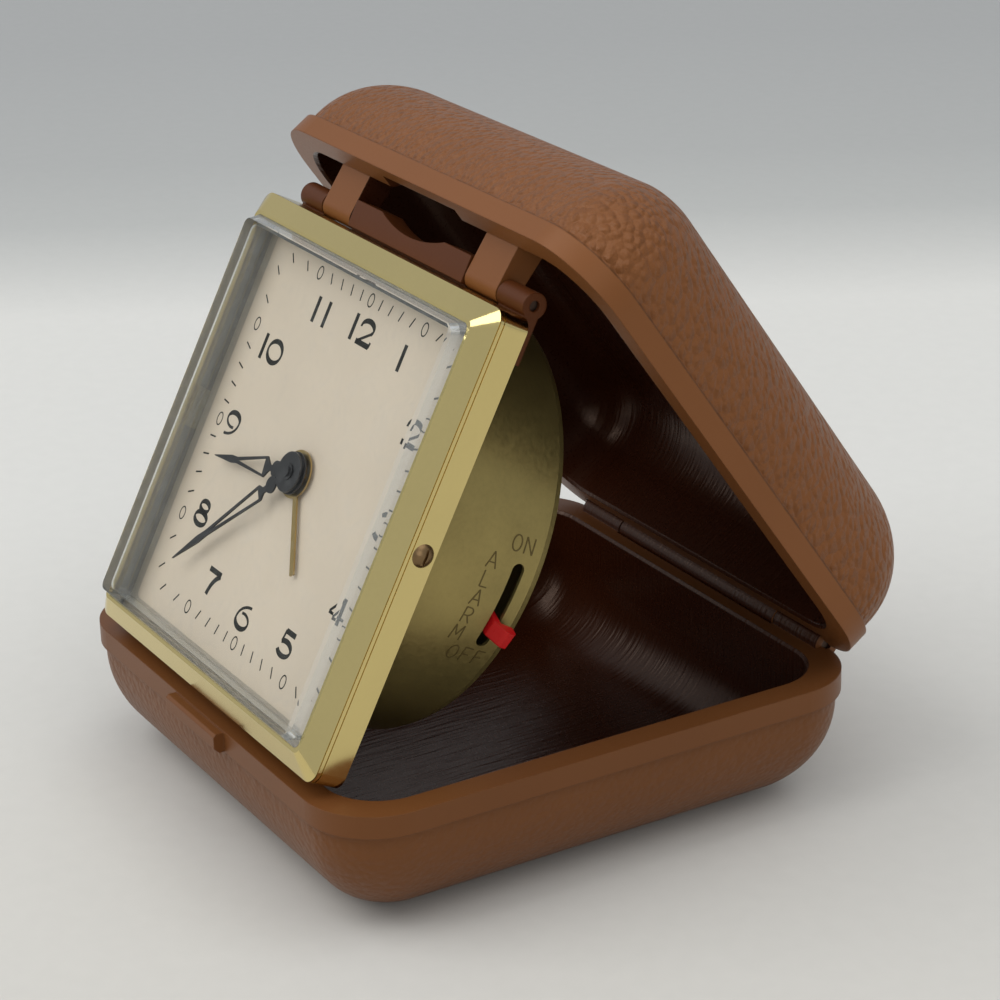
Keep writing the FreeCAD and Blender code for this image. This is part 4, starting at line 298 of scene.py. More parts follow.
# Heights above the rim plane at which the grain starts and is full, and that of the painted
# shadow line along the band's step there, with half its width and the share of colour that
# this painted shade takes off
GRAIN_START, GRAIN_FULL = RIM_BAND + 0.1, RIM_BAND + 0.5
STEP_SHADOW, STEP_SHADOW_HALF, STEP_SHADOW_SHARE = RIM_BAND + 0.2, 0.16, 0.3

# How far a face looks outwards where it is fully outside and, below zero, where the hollow's
# finish is full and where it ends
OUTSIDE_FULL = 4
HOLLOW_FULL, HOLLOW_END = -4, -1
OUTSIDE_ROUGHER = 0.12  # than the hollow

# Flow lines of the melt in the hollow, deeper than real ones so that they show, and the share of
# them that the smooth outside keeps
STREAK_WIDTH, STREAK_LENGTH, STREAK_DEPTH = 0.6, 8, 0.1
STREAKS_OUTSIDE = 0.05


def case_abs(name, centre, up, colour, dark, relief_depth, squeeze):
    """Moulded ABS of one half of the case.

    Its outside has a pressed leather grain of soft pebbles about a millimetre across, which
    breaks the light into small dull glints. The band at the rim, the flat rim and the arms are
    smooth and catch soft highlights, and a thin painted shadow line darkens the colour along the
    band's step below the grain. The hollow is darker, partly in its own tone and partly as
    painted shade, and glossier, and the flow lines of the melt draw streaks through its
    highlights. The height of a point P above the rim plane is (P - centre) . up, and it looks
    outwards by (P - centre) . normal. Squeeze draws the pebbles out upwards, to 1 / squeeze of
    their width. The centre and relief_depth are metres.
    """
    made, tree, shader = material(name)
    coordinates = add(tree, "ShaderNodeTexCoord")
    place, normal = coordinates.outputs["Object"], coordinates.outputs["Normal"]
    apart = add(tree, "ShaderNodeVectorMath", {"operation": "SUBTRACT"}, i0=place, i1=tuple(centre))
    rise = add(tree, "ShaderNodeVectorMath", {"operation": "DOT_PRODUCT"}, i0=apart.outputs[0],
               i1=tuple(up)).outputs["Value"]
    outward = add(tree, "ShaderNodeVectorMath", {"operation": "DOT_PRODUCT"}, i0=apart.outputs[0],
                  i1=normal).outputs["Value"]
    outside = add(tree, "ShaderNodeMapRange", Value=outward, From_Min=0.0, From_Max=OUTSIDE_FULL * MM)
    above = add(tree, "ShaderNodeMapRange", Value=rise, From_Min=GRAIN_START * MM, From_Max=GRAIN_FULL * MM)
    grained = add(tree, "ShaderNodeMath", {"operation": "MULTIPLY"}, i0=outside.outputs[0],
                  i1=above.outputs[0])
    shown = add(tree, "ShaderNodeMapRange", Value=outward, From_Min=HOLLOW_FULL * MM,
                From_Max=HOLLOW_END * MM).outputs[0]
    # Relief: pebbles under a finer skin, or the flow lines
    warp = add(tree, "ShaderNodeTexNoise", Vector=place, Scale=per_metre(WANDER_LENGTH), Detail=1.0)
    shift = add(tree, "ShaderNodeVectorMath", {"operation": "MULTIPLY_ADD"}, i0=warp.outputs["Color"],
                i1=(WANDER_REACH * MM,) * 3, i2=place)
    cells = add(tree, "ShaderNodeMapping", Vector=shift.outputs[0], Scale=(1.0, 1.0, squeeze))
    pebble = add(tree, "ShaderNodeTexVoronoi", {"feature": "SMOOTH_F1"}, Vector=cells.outputs[0],
                 Scale=per_metre(PEBBLE), Smoothness=0.35)
    skin = add(tree, "ShaderNodeTexNoise", Vector=place, Scale=per_metre(SKIN), Detail=3.0)
    relief = add(tree, "ShaderNodeMath", {"operation": "MULTIPLY_ADD"}, i0=skin.outputs["Fac"],
                 i1=-SKIN_SHARE, i2=pebble.outputs["Distance"])
    lines = (per_metre(STREAK_WIDTH), per_metre(STREAK_LENGTH), per_metre(STREAK_LENGTH))
    flow = add(tree, "ShaderNodeMapping", Vector=place, Scale=lines)
    ridges = add(tree, "ShaderNodeTexNoise", Vector=flow.outputs[0], Scale=1.0, Detail=1.0)
    streak_share = STREAK_DEPTH * MM / relief_depth
    drawn = add(tree, "ShaderNodeMapRange", Value=shown, To_Min=streak_share,
                To_Max=STREAKS_OUTSIDE * streak_share)
    streaks = add(tree, "ShaderNodeMath", {"operation": "MULTIPLY"}, i0=ridges.outputs["Fac"],
                  i1=drawn.outputs[0])
    chosen = add(tree, "ShaderNodeMix", {"data_type": "FLOAT"}, Factor=grained.outputs[0],
                 A=streaks.outputs[0], B=relief.outputs[0])
    rounded = add(tree, "ShaderNodeBevel", {"samples": 4}, Radius=0.25 * MM)
    bump = add(tree, "ShaderNodeBump", {"invert": True}, Height=chosen.outputs[0], Strength=0.9,
               Distance=relief_depth, Normal=rounded.outputs[0])
    # Colour: clouded outside, with a painted shadow line below the grain, and dark in the hollow,
    # partly the plastic's own tone and partly painted shade
    patch = add(tree, "ShaderNodeTexNoise", Vector=place, Scale=per_metre(22), Detail=4.0)
    cloud = add(tree, "ShaderNodeValToRGB", stops=((0.35, colour), (0.65, darker(colour, 0.94))),
                Fac=patch.outputs["Fac"])
    # Painted shadow: the colour is darkened along a thin line at the band's step, as the step's shade
    step_shadow_line = add(tree, "ShaderNodeMath", {"operation": "COMPARE"}, i0=rise, i1=STEP_SHADOW * MM,
                 i2=STEP_SHADOW_HALF * MM)
    light = add(tree, "ShaderNodeMath", {"operation": "MULTIPLY_ADD"}, i0=step_shadow_line.outputs[0],
                i1=-STEP_SHADOW_SHARE, i2=1.0)
    step_shadowed = add(tree, "ShaderNodeVectorMath", {"operation": "SCALE"}, i0=cloud.outputs["Color"],
                  Scale=light.outputs[0])
    # The hollow's dark colour is partly the plastic's own tone and partly painted shade
    tint = add(tree, "ShaderNodeMix", {"data_type": "RGBA"}, Factor=shown, A=rgba(dark),
               B=step_shadowed.outputs[0])
    worn = add(tree, "ShaderNodeMapRange", Value=skin.outputs["Fac"], To_Min=0.22, To_Max=0.36)
    rough = add(tree, "ShaderNodeMath", {"operation": "MULTIPLY_ADD"}, i0=shown, i1=OUTSIDE_ROUGHER,
                i2=worn.outputs[0])
    feed(tree, shader, Base_Color=tint.outputs["Result"], Roughness=rough.outputs[0],
         Normal=bump.outputs["Normal"], Specular_IOR_Level=0.34, Specular_Tint=PLASTIC_SHINE,
         IOR=PLASTIC_IOR)
    return made


def polished_plastic(name, colour, roughness, wave):
    """Smooth moulded plastic, faintly clouded by the melt's flow and rubbed in use.

    The clouds are 16 mm wide. The rubbing marks break the gloss and are 0.7 mm wide, coarser
    than real ones so that they show.
    """
    made, tree, shader = material(name)
    place = add(tree, "ShaderNodeTexCoord").outputs["Object"]
    flow = add(tree, "ShaderNodeTexNoise", Vector=place, Scale=per_metre(16), Detail=5.0, Distortion=0.6)
    base = add(tree, "ShaderNodeValToRGB", stops=((0.3, darker(colour, 0.9)), (0.7, colour)),
               Fac=flow.outputs["Fac"])
    rub = add(tree, "ShaderNodeTexNoise", Vector=place, Scale=per_metre(0.7), Detail=3.0)
    rough = add(tree, "ShaderNodeMapRange", Value=rub.outputs["Fac"], To_Min=roughness - 0.07,
                To_Max=roughness + 0.07)
    rounded = add(tree, "ShaderNodeBevel", {"samples": 4}, Radius=0.3 * MM)
    bump = add(tree, "ShaderNodeBump", Height=rub.outputs["Fac"], Strength=wave, Distance=0.04 * MM,
               Normal=rounded.outputs[0])
    feed(tree, shader, Base_Color=base.outputs["Color"], Roughness=rough.outputs["Result"],
         Normal=bump.outputs["Normal"], IOR=PLASTIC_IOR, Specular_IOR_Level=0.25,
         Specular_Tint=PLASTIC_SHINE)
    return made


MARKS_IN_COLOUR = 0.5  # share of the marks that shows in the clouds of tarnish


def worked_metal(name, colour, roughness, marks, stretch=(1, 1, 1), metallic=1.0, cloud=0.14):
    """Metal with the marks of its working, which soften and spread its reflections.

    The marks are noise from 0.65 mm down to 0.04 mm, coarser than real ones so that they show,
    and a stretch below one draws them out along that axis. Clouds of tarnish 14 mm wide take up
    to the share `cloud` off the colour, and the more of it there is, the more the gloss varies.
    """
    made, tree, shader = material(name)
    place = add(tree, "ShaderNodeTexCoord").outputs["Object"]
    drawn = add(tree, "ShaderNodeMapping", Vector=place, Scale=stretch)
    lines = add(tree, "ShaderNodeTexNoise", Vector=drawn.outputs["Vector"], Scale=per_metre(0.65),
                Detail=4.0, Roughness=0.65)
    patches = add(tree, "ShaderNodeTexNoise", Vector=place, Scale=per_metre(14), Detail=4.0)
    mixed = add(tree, "ShaderNodeMath", {"operation": "MULTIPLY_ADD"}, i0=lines.outputs["Fac"],
                i1=MARKS_IN_COLOUR, i2=patches.outputs["Fac"])
    base = add(tree, "ShaderNodeValToRGB", stops=((0.5, darker(colour, 1 - cloud)), (0.95, colour)),
               Fac=mixed.outputs[0])
    change = 0.3 * cloud
    rough = add(tree, "ShaderNodeMapRange", Value=lines.outputs["Fac"], From_Min=0.3, From_Max=0.7,
                To_Min=max(roughness - change, 0.03), To_Max=roughness + change)
    bump = add(tree, "ShaderNodeBump", Height=lines.outputs["Fac"], Strength=marks, Distance=0.03 * MM)
    feed(tree, shader, Base_Color=base.outputs["Color"], Roughness=rough.outputs["Result"],
         Normal=bump.outputs["Normal"], Metallic=metallic)
    return made


ACRYLIC_IOR = 1.49
FRONT_SHINE = 0.3  # share of the reflection that the flat front keeps, so that the dial shows
SIDE_HAZE = 0.16


def clear_acrylic():
    """Moulded clear acrylic.

    The flat front lets the dial through under a sharp Fresnel reflection, softened in patches
    16 mm wide by wiping. The drafted sides and their arrises bend the light, so they fill with
    pale and dark lines. Scuffs 4 mm wide lie over all as a thin haze.
    """
    made, tree, haze = material("clear_acrylic")
    coordinates = add(tree, "ShaderNodeTexCoord")
    place, normal = coordinates.outputs["Object"], coordinates.outputs["Normal"]
    facing = add(tree, "ShaderNodeVectorMath", {"operation": "DOT_PRODUCT"}, i0=normal,
                 i1=tuple(CLOCK_NORMAL))
    flat = add(tree, "ShaderNodeMath", {"operation": "ABSOLUTE"}, i0=facing.outputs["Value"])
    side = add(tree, "ShaderNodeMapRange", Value=flat.outputs[0], From_Min=0.97, From_Max=0.9)
    wipe = add(tree, "ShaderNodeTexNoise", Vector=place, Scale=per_metre(16), Detail=2.0)
    rough = add(tree, "ShaderNodeMapRange", Value=wipe.outputs["Fac"], To_Min=0.0, To_Max=0.04)
    through = add(tree, "ShaderNodeBsdfTransparent", Color=(0.97, 0.975, 0.97, 1))
    shine = add(tree, "ShaderNodeBsdfGlossy", Color=(1, 1, 1, 1), Roughness=rough.outputs["Result"])
    # Only the outer face reflects, because a back face's Fresnel factor is that of total reflection
    edge = add(tree, "ShaderNodeFresnel", IOR=ACRYLIC_IOR)
    back = add(tree, "ShaderNodeNewGeometry").outputs["Backfacing"]
    front = add(tree, "ShaderNodeMath", {"operation": "SUBTRACT"}, i0=1.0, i1=back)
    mirror = add(tree, "ShaderNodeMath", {"operation": "MULTIPLY"}, i0=edge.outputs[0], i1=front.outputs[0])
    coated = add(tree, "ShaderNodeMath", {"operation": "MULTIPLY"}, i0=mirror.outputs[0], i1=FRONT_SHINE)
    clear = add(tree, "ShaderNodeMixShader", i0=coated.outputs[0], i1=through.outputs[0],
                i2=shine.outputs[0])
    bent = add(tree, "ShaderNodeBsdfGlass", Color=(0.97, 0.98, 0.98, 1), Roughness=0.03, IOR=ACRYLIC_IOR)
    body = add(tree, "ShaderNodeMixShader", i0=side.outputs[0], i1=clear.outputs[0], i2=bent.outputs[0])
    scuffs = add(tree, "ShaderNodeTexNoise", Vector=place, Scale=per_metre(4), Detail=5.0, Distortion=1.5)
    worn = add(tree, "ShaderNodeMapRange", Value=scuffs.outputs["Fac"], From_Min=0.5, From_Max=0.8,
               To_Max=0.05)
    dull = add(tree, "ShaderNodeMath", {"operation": "MULTIPLY_ADD"}, i0=side.outputs[0], i1=SIDE_HAZE,
               i2=worn.outputs[0])
    whole = add(tree, "ShaderNodeMixShader", i0=dull.outputs[0], i1=body.outputs[0],
                i2=haze.outputs["BSDF"])
    feed(tree, haze, Base_Color=rgba(linear("#cdd0cf")), Roughness=0.25)
    feed(tree, tree.nodes["Material Output"], Surface=whole.outputs[0])
    return made


def dial_lacquer(colour):
    """Cream lacquer sprayed on a stamped dial: clouds 20 mm wide, and an orange peel of 0.3 mm."""
    made, tree, shader = material("cream_lacquer")
    place = add(tree, "ShaderNodeTexCoord").outputs["Object"]
    cloud = add(tree, "ShaderNodeTexNoise", Vector=place, Scale=per_metre(20), Detail=5.0)
    base = add(tree, "ShaderNodeValToRGB", stops=((0.3, darker(colour, 0.94)), (0.7, colour)),
               Fac=cloud.outputs["Fac"])
    peel = add(tree, "ShaderNodeTexNoise", Vector=place, Scale=per_metre(0.3), Detail=2.0)
    bump = add(tree, "ShaderNodeBump", Height=peel.outputs["Fac"], Strength=0.12, Distance=0.02 * MM)
    feed(tree, shader, Base_Color=base.outputs["Color"], Normal=bump.outputs["Normal"], Roughness=0.55)
    return made


def plain_finish(name, colour, roughness, metallic=0.0, gloss=0.5):
    """Paint, ink or card of a small piece: its colour is broken by a grain of 1.1 mm."""
    made, tree, shader = material(name)
    place = add(tree, "ShaderNodeTexCoord").outputs["Object"]
    grain = add(tree, "ShaderNodeTexNoise", Vector=place, Scale=per_metre(1.1), Detail=3.0)
    base = add(tree, "ShaderNodeValToRGB", stops=((0.3, darker(colour, 0.85)), (0.7, colour)),
               Fac=grain.outputs["Fac"])
    feed(tree, shader, Base_Color=base.outputs["Color"], Roughness=roughness, Metallic=metallic,
         Specular_IOR_Level=gloss)
    return made


# Colour of the paper by how far it lies behind the clock along the camera's line, in metres
FADE = ((-0.12, "#c4c1ba"), (0.1, "#d2d1cc"), (0.205, "#d2d1cc"), (0.24, "#bfbfbb"), (0.27, "#afb0ad"),
        (0.32, "#a6a7a5"), (0.44, "#a0a1a0"))


def matt_paper(away):
    """Pale matt paper: lightest round the clock's far side, and fading to grey well behind it.

    The paper's place on the ramp is P . away, as a share of the way from the first of FADE to
    the last. Its specks are 3.2 mm wide, coarser than real fibres so that they show.
    """
    made, tree, shader = material("pale_paper")
    place = add(tree, "ShaderNodeTexCoord").outputs["Object"]
    behind = add(tree, "ShaderNodeVectorMath", {"operation": "DOT_PRODUCT"}, i0=place, i1=tuple(away))
    start, end = FADE[0][0], FADE[-1][0]
    share = add(tree, "ShaderNodeMapRange", Value=behind.outputs["Value"], From_Min=start, From_Max=end)
    stops = [((spot - start) / (end - start), linear(code)) for spot, code in FADE]
    paper = add(tree, "ShaderNodeValToRGB", stops=stops, Fac=share.outputs[0])
    fibre = add(tree, "ShaderNodeTexNoise", Vector=place, Scale=per_metre(3.2), Detail=2.0)
    speck = add(tree, "ShaderNodeMapRange", Value=fibre.outputs["Fac"], To_Min=0.97, To_Max=1.02)
    mottled = add(tree, "ShaderNodeVectorMath", {"operation": "SCALE"}, i0=paper.outputs["Color"],
                  Scale=speck.outputs[0])
    feed(tree, shader, Base_Color=mottled.outputs[0], Roughness=0.7)
    return made


def coat(made, *names):
    """Gives CAD nodes one material."""
    for name in names:
        NODES[name].data.materials.clear()
        NODES[name].data.materials.append(made)


def finished(thing, body, made):
    """Gives a new piece its material and makes it ride on its body."""
    thing.data.materials.append(made)
    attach(thing, body)


# Settings

class CaseSettings(bpy.types.PropertyGroup):
    """Colours of the moulded case."""
    leather: FloatVectorProperty(name="Grained plastic", description="Colour of the pebbled outside",
                                 subtype="COLOR", default=linear("#764825"))
    # The hollow's colour is partly the plastic's own darker tone and partly painted shade
    hollow: FloatVectorProperty(name="Hollow", description="Colour of the glossy inside",
                                subtype="COLOR", default=linear("#371809"))
    smooth: FloatVectorProperty(name="Smooth plastic", description="Colour of the hinge bracket",
                                subtype="COLOR", default=linear("#522a12"))


class FrontSettings(bpy.types.PropertyGroup):
    """Colours and sizes of the clock's front."""
    gilt: FloatVectorProperty(name="Bezel", description="Colour of the gilt bezel",
                              subtype="COLOR", default=linear("#dbc888"))
    cream: FloatVectorProperty(name="Dial", description="Colour of the lacquered dial",
                               subtype="COLOR", default=linear("#d2c3af"))
    ink: FloatVectorProperty(name="Ink", description="Colour of the printed numerals",
                             subtype="COLOR", default=linear("#1f1f1a"))
    numeral_height: FloatProperty(name="Numeral height", description="Height of the numerals in millimetres",
                                  default=3.75, min=2.0, max=5.0)
    marker_ring: FloatProperty(name="Marker square",
                               description="Half width of the square of minute marks in millimetres",
                               default=25.2, min=22.0, max=28.0)


class DrumSettings(bpy.types.PropertyGroup):
    """Colours and sizes of the drum behind the dial."""
    lacquer: FloatVectorProperty(name="Drum", description="Colour of the matte gilt drum",
                                 subtype="COLOR", default=linear("#a19058"))
    lever: FloatVectorProperty(name="Alarm lever", description="Colour of the alarm lever",
                               subtype="COLOR", default=linear("#b8181b"))
    letter_height: FloatProperty(name="Letter height",
                                 description="Height of the engraved letters in millimetres",
                                 default=2.25, min=1.0, max=3.0)


# Operators

# Of each half: the grain's depth in millimetres, the colour's share of the leather's, and the
# pebbles' squeeze. Both halves are one plastic, so the base's lower share is painted shade. The
# real grain is about 0.1 mm deep, and is drawn deeper so that it shows.
GRAIN_AND_PAINTED_SHADE = {"base_shell": (0.16, 0.76, 1.0), "lid_shell": (0.8, 1.0, 0.7)}


class CLOCK_OT_case(bpy.types.Operator):
    """Finish both halves of the case and the clock's bracket"""
    bl_idname = "travel_clock.case"
    bl_label = "Case"

    def execute(self, context):
        settings = context.scene.travel_clock_case
        along = np.array((0, -math.cos(LID_ANGLE), math.sin(LID_ANGLE)))
        planes = {"base_shell": (REAR_AXIS - np.array((0, CENTRE_DISTANCE, 0)), np.array((0, 0, -1))),
                  "lid_shell": (REAR_AXIS + CENTRE_DISTANCE * along, np.cross(along, RIGHT))}
        for name, (centre, up) in planes.items():
            depth, share, squeeze = GRAIN_AND_PAINTED_SHADE[name]
            # The base's lower share of the leather's colour is painted shade
            coat(case_abs("abs_" + name, centre, up, darker(settings.leather[:], share),
                          settings.hollow[:], depth * MM, squeeze), name)
        # The bracket's smooth moulding has a broad soft shine
        coat(polished_plastic("abs_smooth", settings.smooth[:], roughness=0.42, wave=0.2),
             "clock_hinge_bracket")
        # Drawn wire gleams dully along the pins, and the turned screws are a cleaner grey
        coat(worked_metal("browned_steel_wire", linear("#4a3c34"), 0.4, marks=0.1, stretch=(0.1, 1, 1)),
             "rear_hinge_pin", "clock_hinge_pin")
        coat(worked_metal("turned_steel", linear("#9a958c"), 0.3, marks=0.1), "bracket_screws")
        return {"FINISHED"}


class CLOCK_OT_front(bpy.types.Operator):
    """Finish the bezel, the crystal, the dial and the hands"""
    bl_idname = "travel_clock.front"
    bl_label = "Bezel, crystal and hands"

    def execute(self, context):
        settings = context.scene.travel_clock_front
        # The polished gilding mirrors its surroundings, and its screws have gone brown and rough
        coat(worked_metal("gilt_brass", settings.gilt[:], 0.15, marks=0.02, cloud=0.05), "bezel")
        coat(worked_metal("tarnished_brass", linear("#80684a"), 0.35, marks=0.3), "bezel_screws")
        coat(clear_acrylic(), "crystal")
        coat(dial_lacquer(settings.cream[:]), "dial")
        coat(plain_finish("grey_card", linear("#8a867c"), 0.8), "dial_spacer")
        # Stoved enamel leaves the hands near black with a soft gloss, and the alarm hand stays golden
        coat(plain_finish("black_enamel", linear("#0f0f11"), 0.35), "minute_hand", "hour_hand",
             "centre_arbor", "cannon_pinion")
        coat(worked_metal("lacquered_brass", linear("#b39a63"), 0.35, marks=0.1), "alarm_hand")
        return {"FINISHED"}


# Middles of the numerals on the dial
NUMERALS = {
    "12": (0.5, 21.4), "1": (12.2, 20.8), "2": (21.0, 12.9), "3": (22.8, 0.4), "4": (20.5, -12.2),
    "5": (12.1, -20.3), "6": (-0.1, -21.0), "7": (-10.8, -19.8), "8": (-19.9, -12.4), "9": (-21.3, 0.7),
    "10": (-19.3, 12.7), "11": (-10.4, 20.9),
}
STEM, HAIR = 0.78, 0.42
INK_BELOW, INK_ABOVE = 0.004, 0.012  # from the dial's face
TRACK_CENTRE = np.array((0.2, 0.4))  # the print lies a little off the arbor
TICK_HALF_LENGTH, TICK_HALF_WIDTH = 0.8, 0.12
RING_RADII, RING_HALF_LINE, RING_STEPS = (0.66, 0.92), 0.1, 32


class CLOCK_OT_dial_print(bpy.types.Operator):
    """Print the numerals, minute marks and hour rings on the dial"""
    bl_idname = "travel_clock.dial_print"
    bl_label = "Dial print"

    def execute(self, context):
        settings = context.scene.travel_clock_front
        # Screen ink dries thick and matt
        ink = plain_finish("screen_ink", settings.ink[:], 0.6, gloss=0.2)
        low, high = DIAL_FRONT - INK_BELOW, DIAL_FRONT + INK_ABOVE
        strokes = []
        for number, middle in NUMERALS.items():
            strokes += [(path + np.array(middle), kind)
                        for path, kind in number_strokes(number, settings.numeral_height)]
        halves = [pen(path, kind, STEM, HAIR) for path, kind in strokes]
        points, faces = ribbons(np.array([path for path, _ in strokes]), np.array(halves), low, high)
        finished(mesh_object("numerals", clock_to_row(points), faces), "clock", ink)

        rings, ticks = [], []
        for minute in range(60):
            point, ray = square_point(6 * minute, settings.marker_ring)
            point = point + TRACK_CENTRE
            if minute % 5:
                ticks.append(np.array((point - ray * TICK_HALF_LENGTH, point + ray * TICK_HALF_LENGTH)))
            else:
                angle = np.linspace(0, 2 * np.pi, RING_STEPS, endpoint=False)
                rings.append(point + np.stack((np.cos(angle), np.sin(angle)), axis=1) * RING_RADII)
        ring_widths = np.full((len(rings), RING_STEPS), RING_HALF_LINE)
        tick_widths = np.full((len(ticks), 2), TICK_HALF_WIDTH)
        points, faces = joined(ribbons(np.array(rings), ring_widths, low, high, closed=True),
                               ribbons(np.array(ticks), tick_widths, low, high))
        finished(mesh_object("minute_marks", clock_to_row(points), faces), "clock", ink)
        return {"FINISHED"}


# The lever's words, as degrees above the drum's right side and a place along its axis. ON and OFF
# run along the axis, and the letters of ALARM lie below one another.
WORDS_ALONG = (("ON", 8.9, -13.7), ("OFF", -22.2, -13.1))
LETTER_PITCH = 0.92  # in heights of a letter
ALARM_ANGLE, ALARM_STEP, ALARM_PLACE = 3.4, 5.0, -9.75
LINE_HALF_WIDTH, LINE_BELOW, LINE_ABOVE = 0.09, 0.02, 0.05


class CLOCK_OT_drum(bpy.types.Operator):
    """Finish the drum, engrave its words and paint the alarm lever"""
    bl_idname = "travel_clock.drum"
    bl_label = "Drum"

    def execute(self, context):
        settings = context.scene.travel_clock_drum
        # Matte lacquer over a rough blank: a broad dull gleam, with cloudy patches
        coat(worked_metal("matte_gilt_lacquer", settings.lacquer[:], 0.42, marks=0.4, metallic=0.75,
                          cloud=0.3), "drum_case")
        # Polished celluloid: a clear strong red with small sharp highlights
        coat(polished_plastic("red_celluloid", settings.lever[:], roughness=0.3, wave=0.1),
             "alarm_shutoff_lever")
        height = settings.letter_height
        layout = []
        for word, angle, place in WORDS_ALONG:
            for index, letter in enumerate(word):
                shift = (index - (len(word) - 1) / 2) * height * LETTER_PITCH
                layout.append((letter, angle, place - shift))
        for index, letter in enumerate("ALARM"):
            layout.append((letter, ALARM_ANGLE - ALARM_STEP * index, ALARM_PLACE))
        paths = []
        for letter, angle, place in layout:
            middle = np.array((-place, math.radians(angle) * DRUM_RADIUS))
            paths += [(path - np.array((0, 0.5))) * height + middle for path in CAPITALS[letter]]
        widths = np.full((len(paths), PATH_STEPS), LINE_HALF_WIDTH)
        flat, faces = ribbons(np.array(paths), widths, -LINE_BELOW, LINE_ABOVE)
        # Wrapped on the drum, for a flat point (t, s) at height h:
        # x = (R + h) cos(s / R), y = (R + h) sin(s / R), z = -t
        radius, angle = DRUM_RADIUS + flat[:, 2], flat[:, 1] / DRUM_RADIUS
        points = np.stack((radius * np.cos(angle), radius * np.sin(angle), -flat[:, 0]), axis=1)
        words = mesh_object("alarm_words", clock_to_row(points), faces)
        # The engraved lines are coloured dark and dull
        engraving_finish = plain_finish("darkened_engraving", linear("#65562f"), 0.5, metallic=0.6)
        finished(words, "clock", engraving_finish)
        return {"FINISHED"}


# Nodes of brass and steel that another operator finishes
FINISHED_ELSEWHERE = {"rear_hinge_pin", "clock_hinge_pin", "bracket_screws", "alarm_hand",
                      "centre_arbor", "cannon_pinion"}


class CLOCK_OT_movement(bpy.types.Operator):
    """Finish the movement, the keys and the knobs"""
    bl_idname = "travel_clock.movement"
    bl_label = "Movement"

    def execute(self, context):
        # Cut wheels and plates are bright and faintly lined, steel is smoother, and the springs
        # have the blue of their tempering
        brass = worked_metal("cut_brass", linear("#c9a95e"), 0.28, marks=0.1)
        steel = worked_metal("polished_steel", linear("#a8a6a0"), 0.22, marks=0.05)
        blued = worked_metal("blued_spring_steel", linear("#3c4458"), 0.3, marks=0.1)
        finishes = {"brass": brass, "brass_plate": brass, "steel": steel, "spring_steel": blued}
        slots = {part["node"]: part["material_slot"] for part in frame["record"]["subparts"]}
        for name in NODES:
            if slots[name] in finishes and name not in FINISHED_ELSEWHERE:
                coat(finishes[slots[name]], name)
        return {"FINISHED"}


# The stage, in metres. Each lamp has a place, a size and its watts, and all aim at one point.
FLOOR_HALF = 3.0
AIR_COLOUR, AIR_STRENGTH = (0.93, 0.96, 1.0, 1), 0.54
LAMPS = (("window", (-0.5, -1.2, 1.5), 1.6, 20.0), ("ceiling", (0.5, 0.3, 1.8), 1.8, 13.5),
         ("bounce", (1.6, -0.6, 0.7), 1.0, 4.5))
LAMP_AIM = Vector((0, 0, 0.04))

# The photograph's camera looks at its aim, and is then turned about an axis in its own frame by
# that axis's length in radians
CAMERA_PLACE, CAMERA_AIM = Vector((0.3361, -0.1914, 0.1994)), Vector((0, 0, 0.035))
CAMERA_TURN = Vector((-0.012, -0.014, -0.029))
FOCAL_PIXELS, PHOTO_PIXELS = 2979.6, 1000
SENSOR_WIDTH = 36.0  # millimetres
CLIP_START, CLIP_END = 0.02, 20.0


def camera_rotation():
    """Rotation of the photograph's camera.

    The rows right, down and ahead of the camera that looks at its aim are turned together, and
    the camera's own axes are then right, -down and -ahead.
    """
    ahead = (CAMERA_AIM - CAMERA_PLACE).normalized()
    right = ahead.cross(Vector((0, 0, 1))).normalized()
    looking = Matrix((right, -right.cross(ahead), ahead))
    right, down, ahead = Matrix.Rotation(CAMERA_TURN.length, 3, CAMERA_TURN) @ looking
    return Matrix((right, -down, -ahead)).transposed()


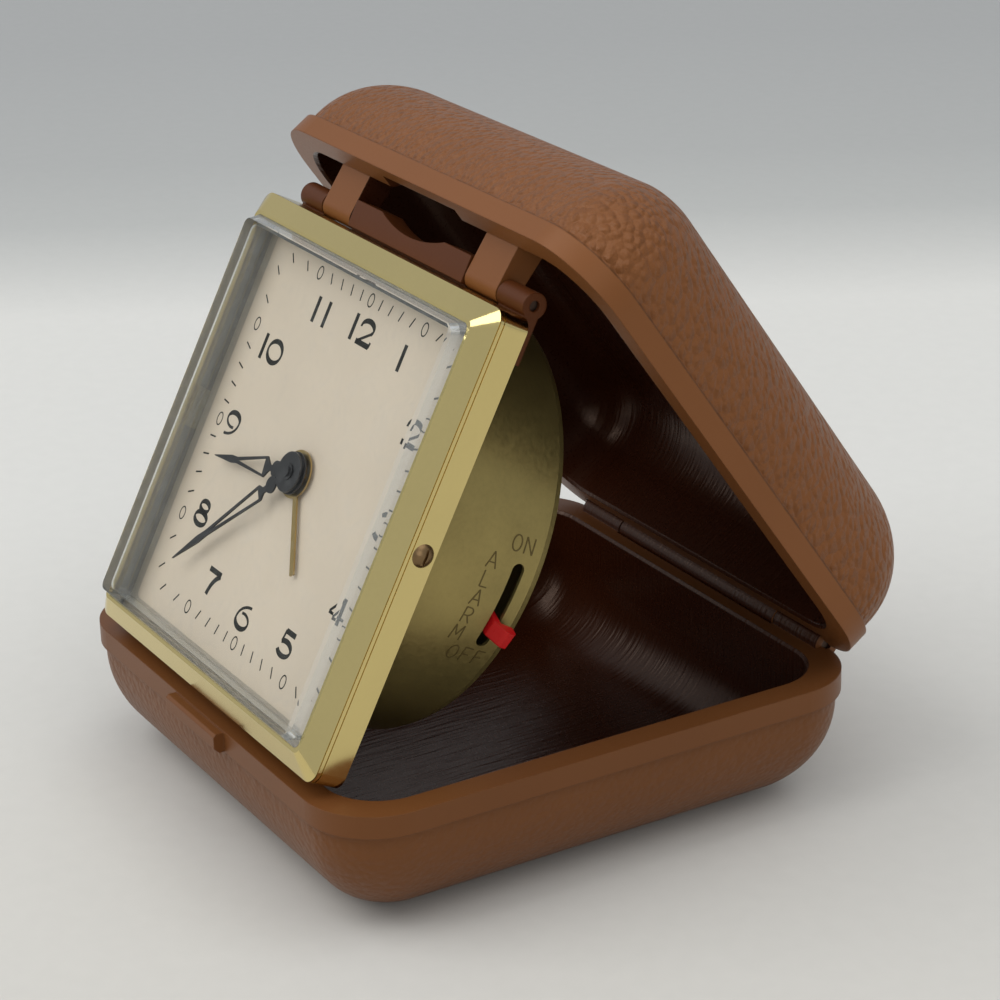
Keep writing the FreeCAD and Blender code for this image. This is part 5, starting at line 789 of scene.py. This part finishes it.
class CLOCK_OT_stage(bpy.types.Operator):
    """Set up the floor, the lamps and the camera"""
    bl_idname = "travel_clock.stage"
    bl_label = "Stage"

    def execute(self, context):
        scene = context.scene
        half = FLOOR_HALF
        corners = np.array(((-half, -half, 0), (half, -half, 0), (half, half, 0), (-half, half, 0)))
        floor = mesh_object("studio_floor", corners, [(0, 1, 2, 3)])
        away = -np.array((CAMERA_PLACE.x, CAMERA_PLACE.y, 0.0))
        floor.data.materials.append(matt_paper(away / np.linalg.norm(away)))
        world = bpy.data.worlds.new("studio_air")
        world.use_nodes = True
        background = world.node_tree.nodes["Background"]
        feed(world.node_tree, background, Color=AIR_COLOUR, Strength=AIR_STRENGTH)
        scene.world = world
        for name, spot, size, power in LAMPS:
            lamp = bpy.data.lights.new(name, "AREA")
            lamp.size = size
            lamp.energy = power
            thing = bpy.data.objects.new(name, lamp)
            thing.location = spot
            thing.rotation_euler = (LAMP_AIM - Vector(spot)).to_track_quat("-Z", "Y").to_euler()
            scene.collection.objects.link(thing)
        camera = bpy.data.cameras.new("photo_camera")
        camera.sensor_fit = "HORIZONTAL"
        camera.sensor_width = SENSOR_WIDTH
        camera.lens = FOCAL_PIXELS / PHOTO_PIXELS * SENSOR_WIDTH
        camera.clip_start = CLIP_START
        camera.clip_end = CLIP_END
        thing = bpy.data.objects.new("photo_camera", camera)
        thing.matrix_world = Matrix.Translation(CAMERA_PLACE) @ camera_rotation().to_4x4()
        scene.collection.objects.link(thing)
        scene.camera = thing
        scene.view_settings.view_transform = "Standard"
        return {"FINISHED"}


class CLOCK_PT_panel(bpy.types.Panel):
    """Lists the steps and the settings of the travel clock"""
    bl_idname = "CLOCK_PT_panel"
    bl_label = "Travel Clock"
    bl_space_type = "VIEW_3D"
    bl_region_type = "UI"
    bl_category = "Travel Clock"

    def draw(self, context):
        for operator in OPERATORS:
            self.layout.operator(operator.bl_idname)
        for name in SETTINGS:
            group = getattr(context.scene, name)
            for key in group.__annotations__:
                self.layout.prop(group, key)


OPERATORS = (CLOCK_OT_case, CLOCK_OT_front, CLOCK_OT_dial_print, CLOCK_OT_drum, CLOCK_OT_movement,
             CLOCK_OT_stage)
SETTINGS = {"travel_clock_case": CaseSettings, "travel_clock_front": FrontSettings,
            "travel_clock_drum": DrumSettings}
CLASSES = (*SETTINGS.values(), *OPERATORS, CLOCK_PT_panel)


def register():
    for each in CLASSES:
        bpy.utils.register_class(each)
    for name, group in SETTINGS.items():
        setattr(bpy.types.Scene, name, PointerProperty(type=group))


def unregister():
    for name in SETTINGS:
        delattr(bpy.types.Scene, name)
    for each in reversed(CLASSES):
        bpy.utils.unregister_class(each)


def main():
    register()
    for operator in OPERATORS:
        group, name = operator.bl_idname.split(".")
        getattr(getattr(bpy.ops, group), name)()


if __name__ == "__main__":
    main()
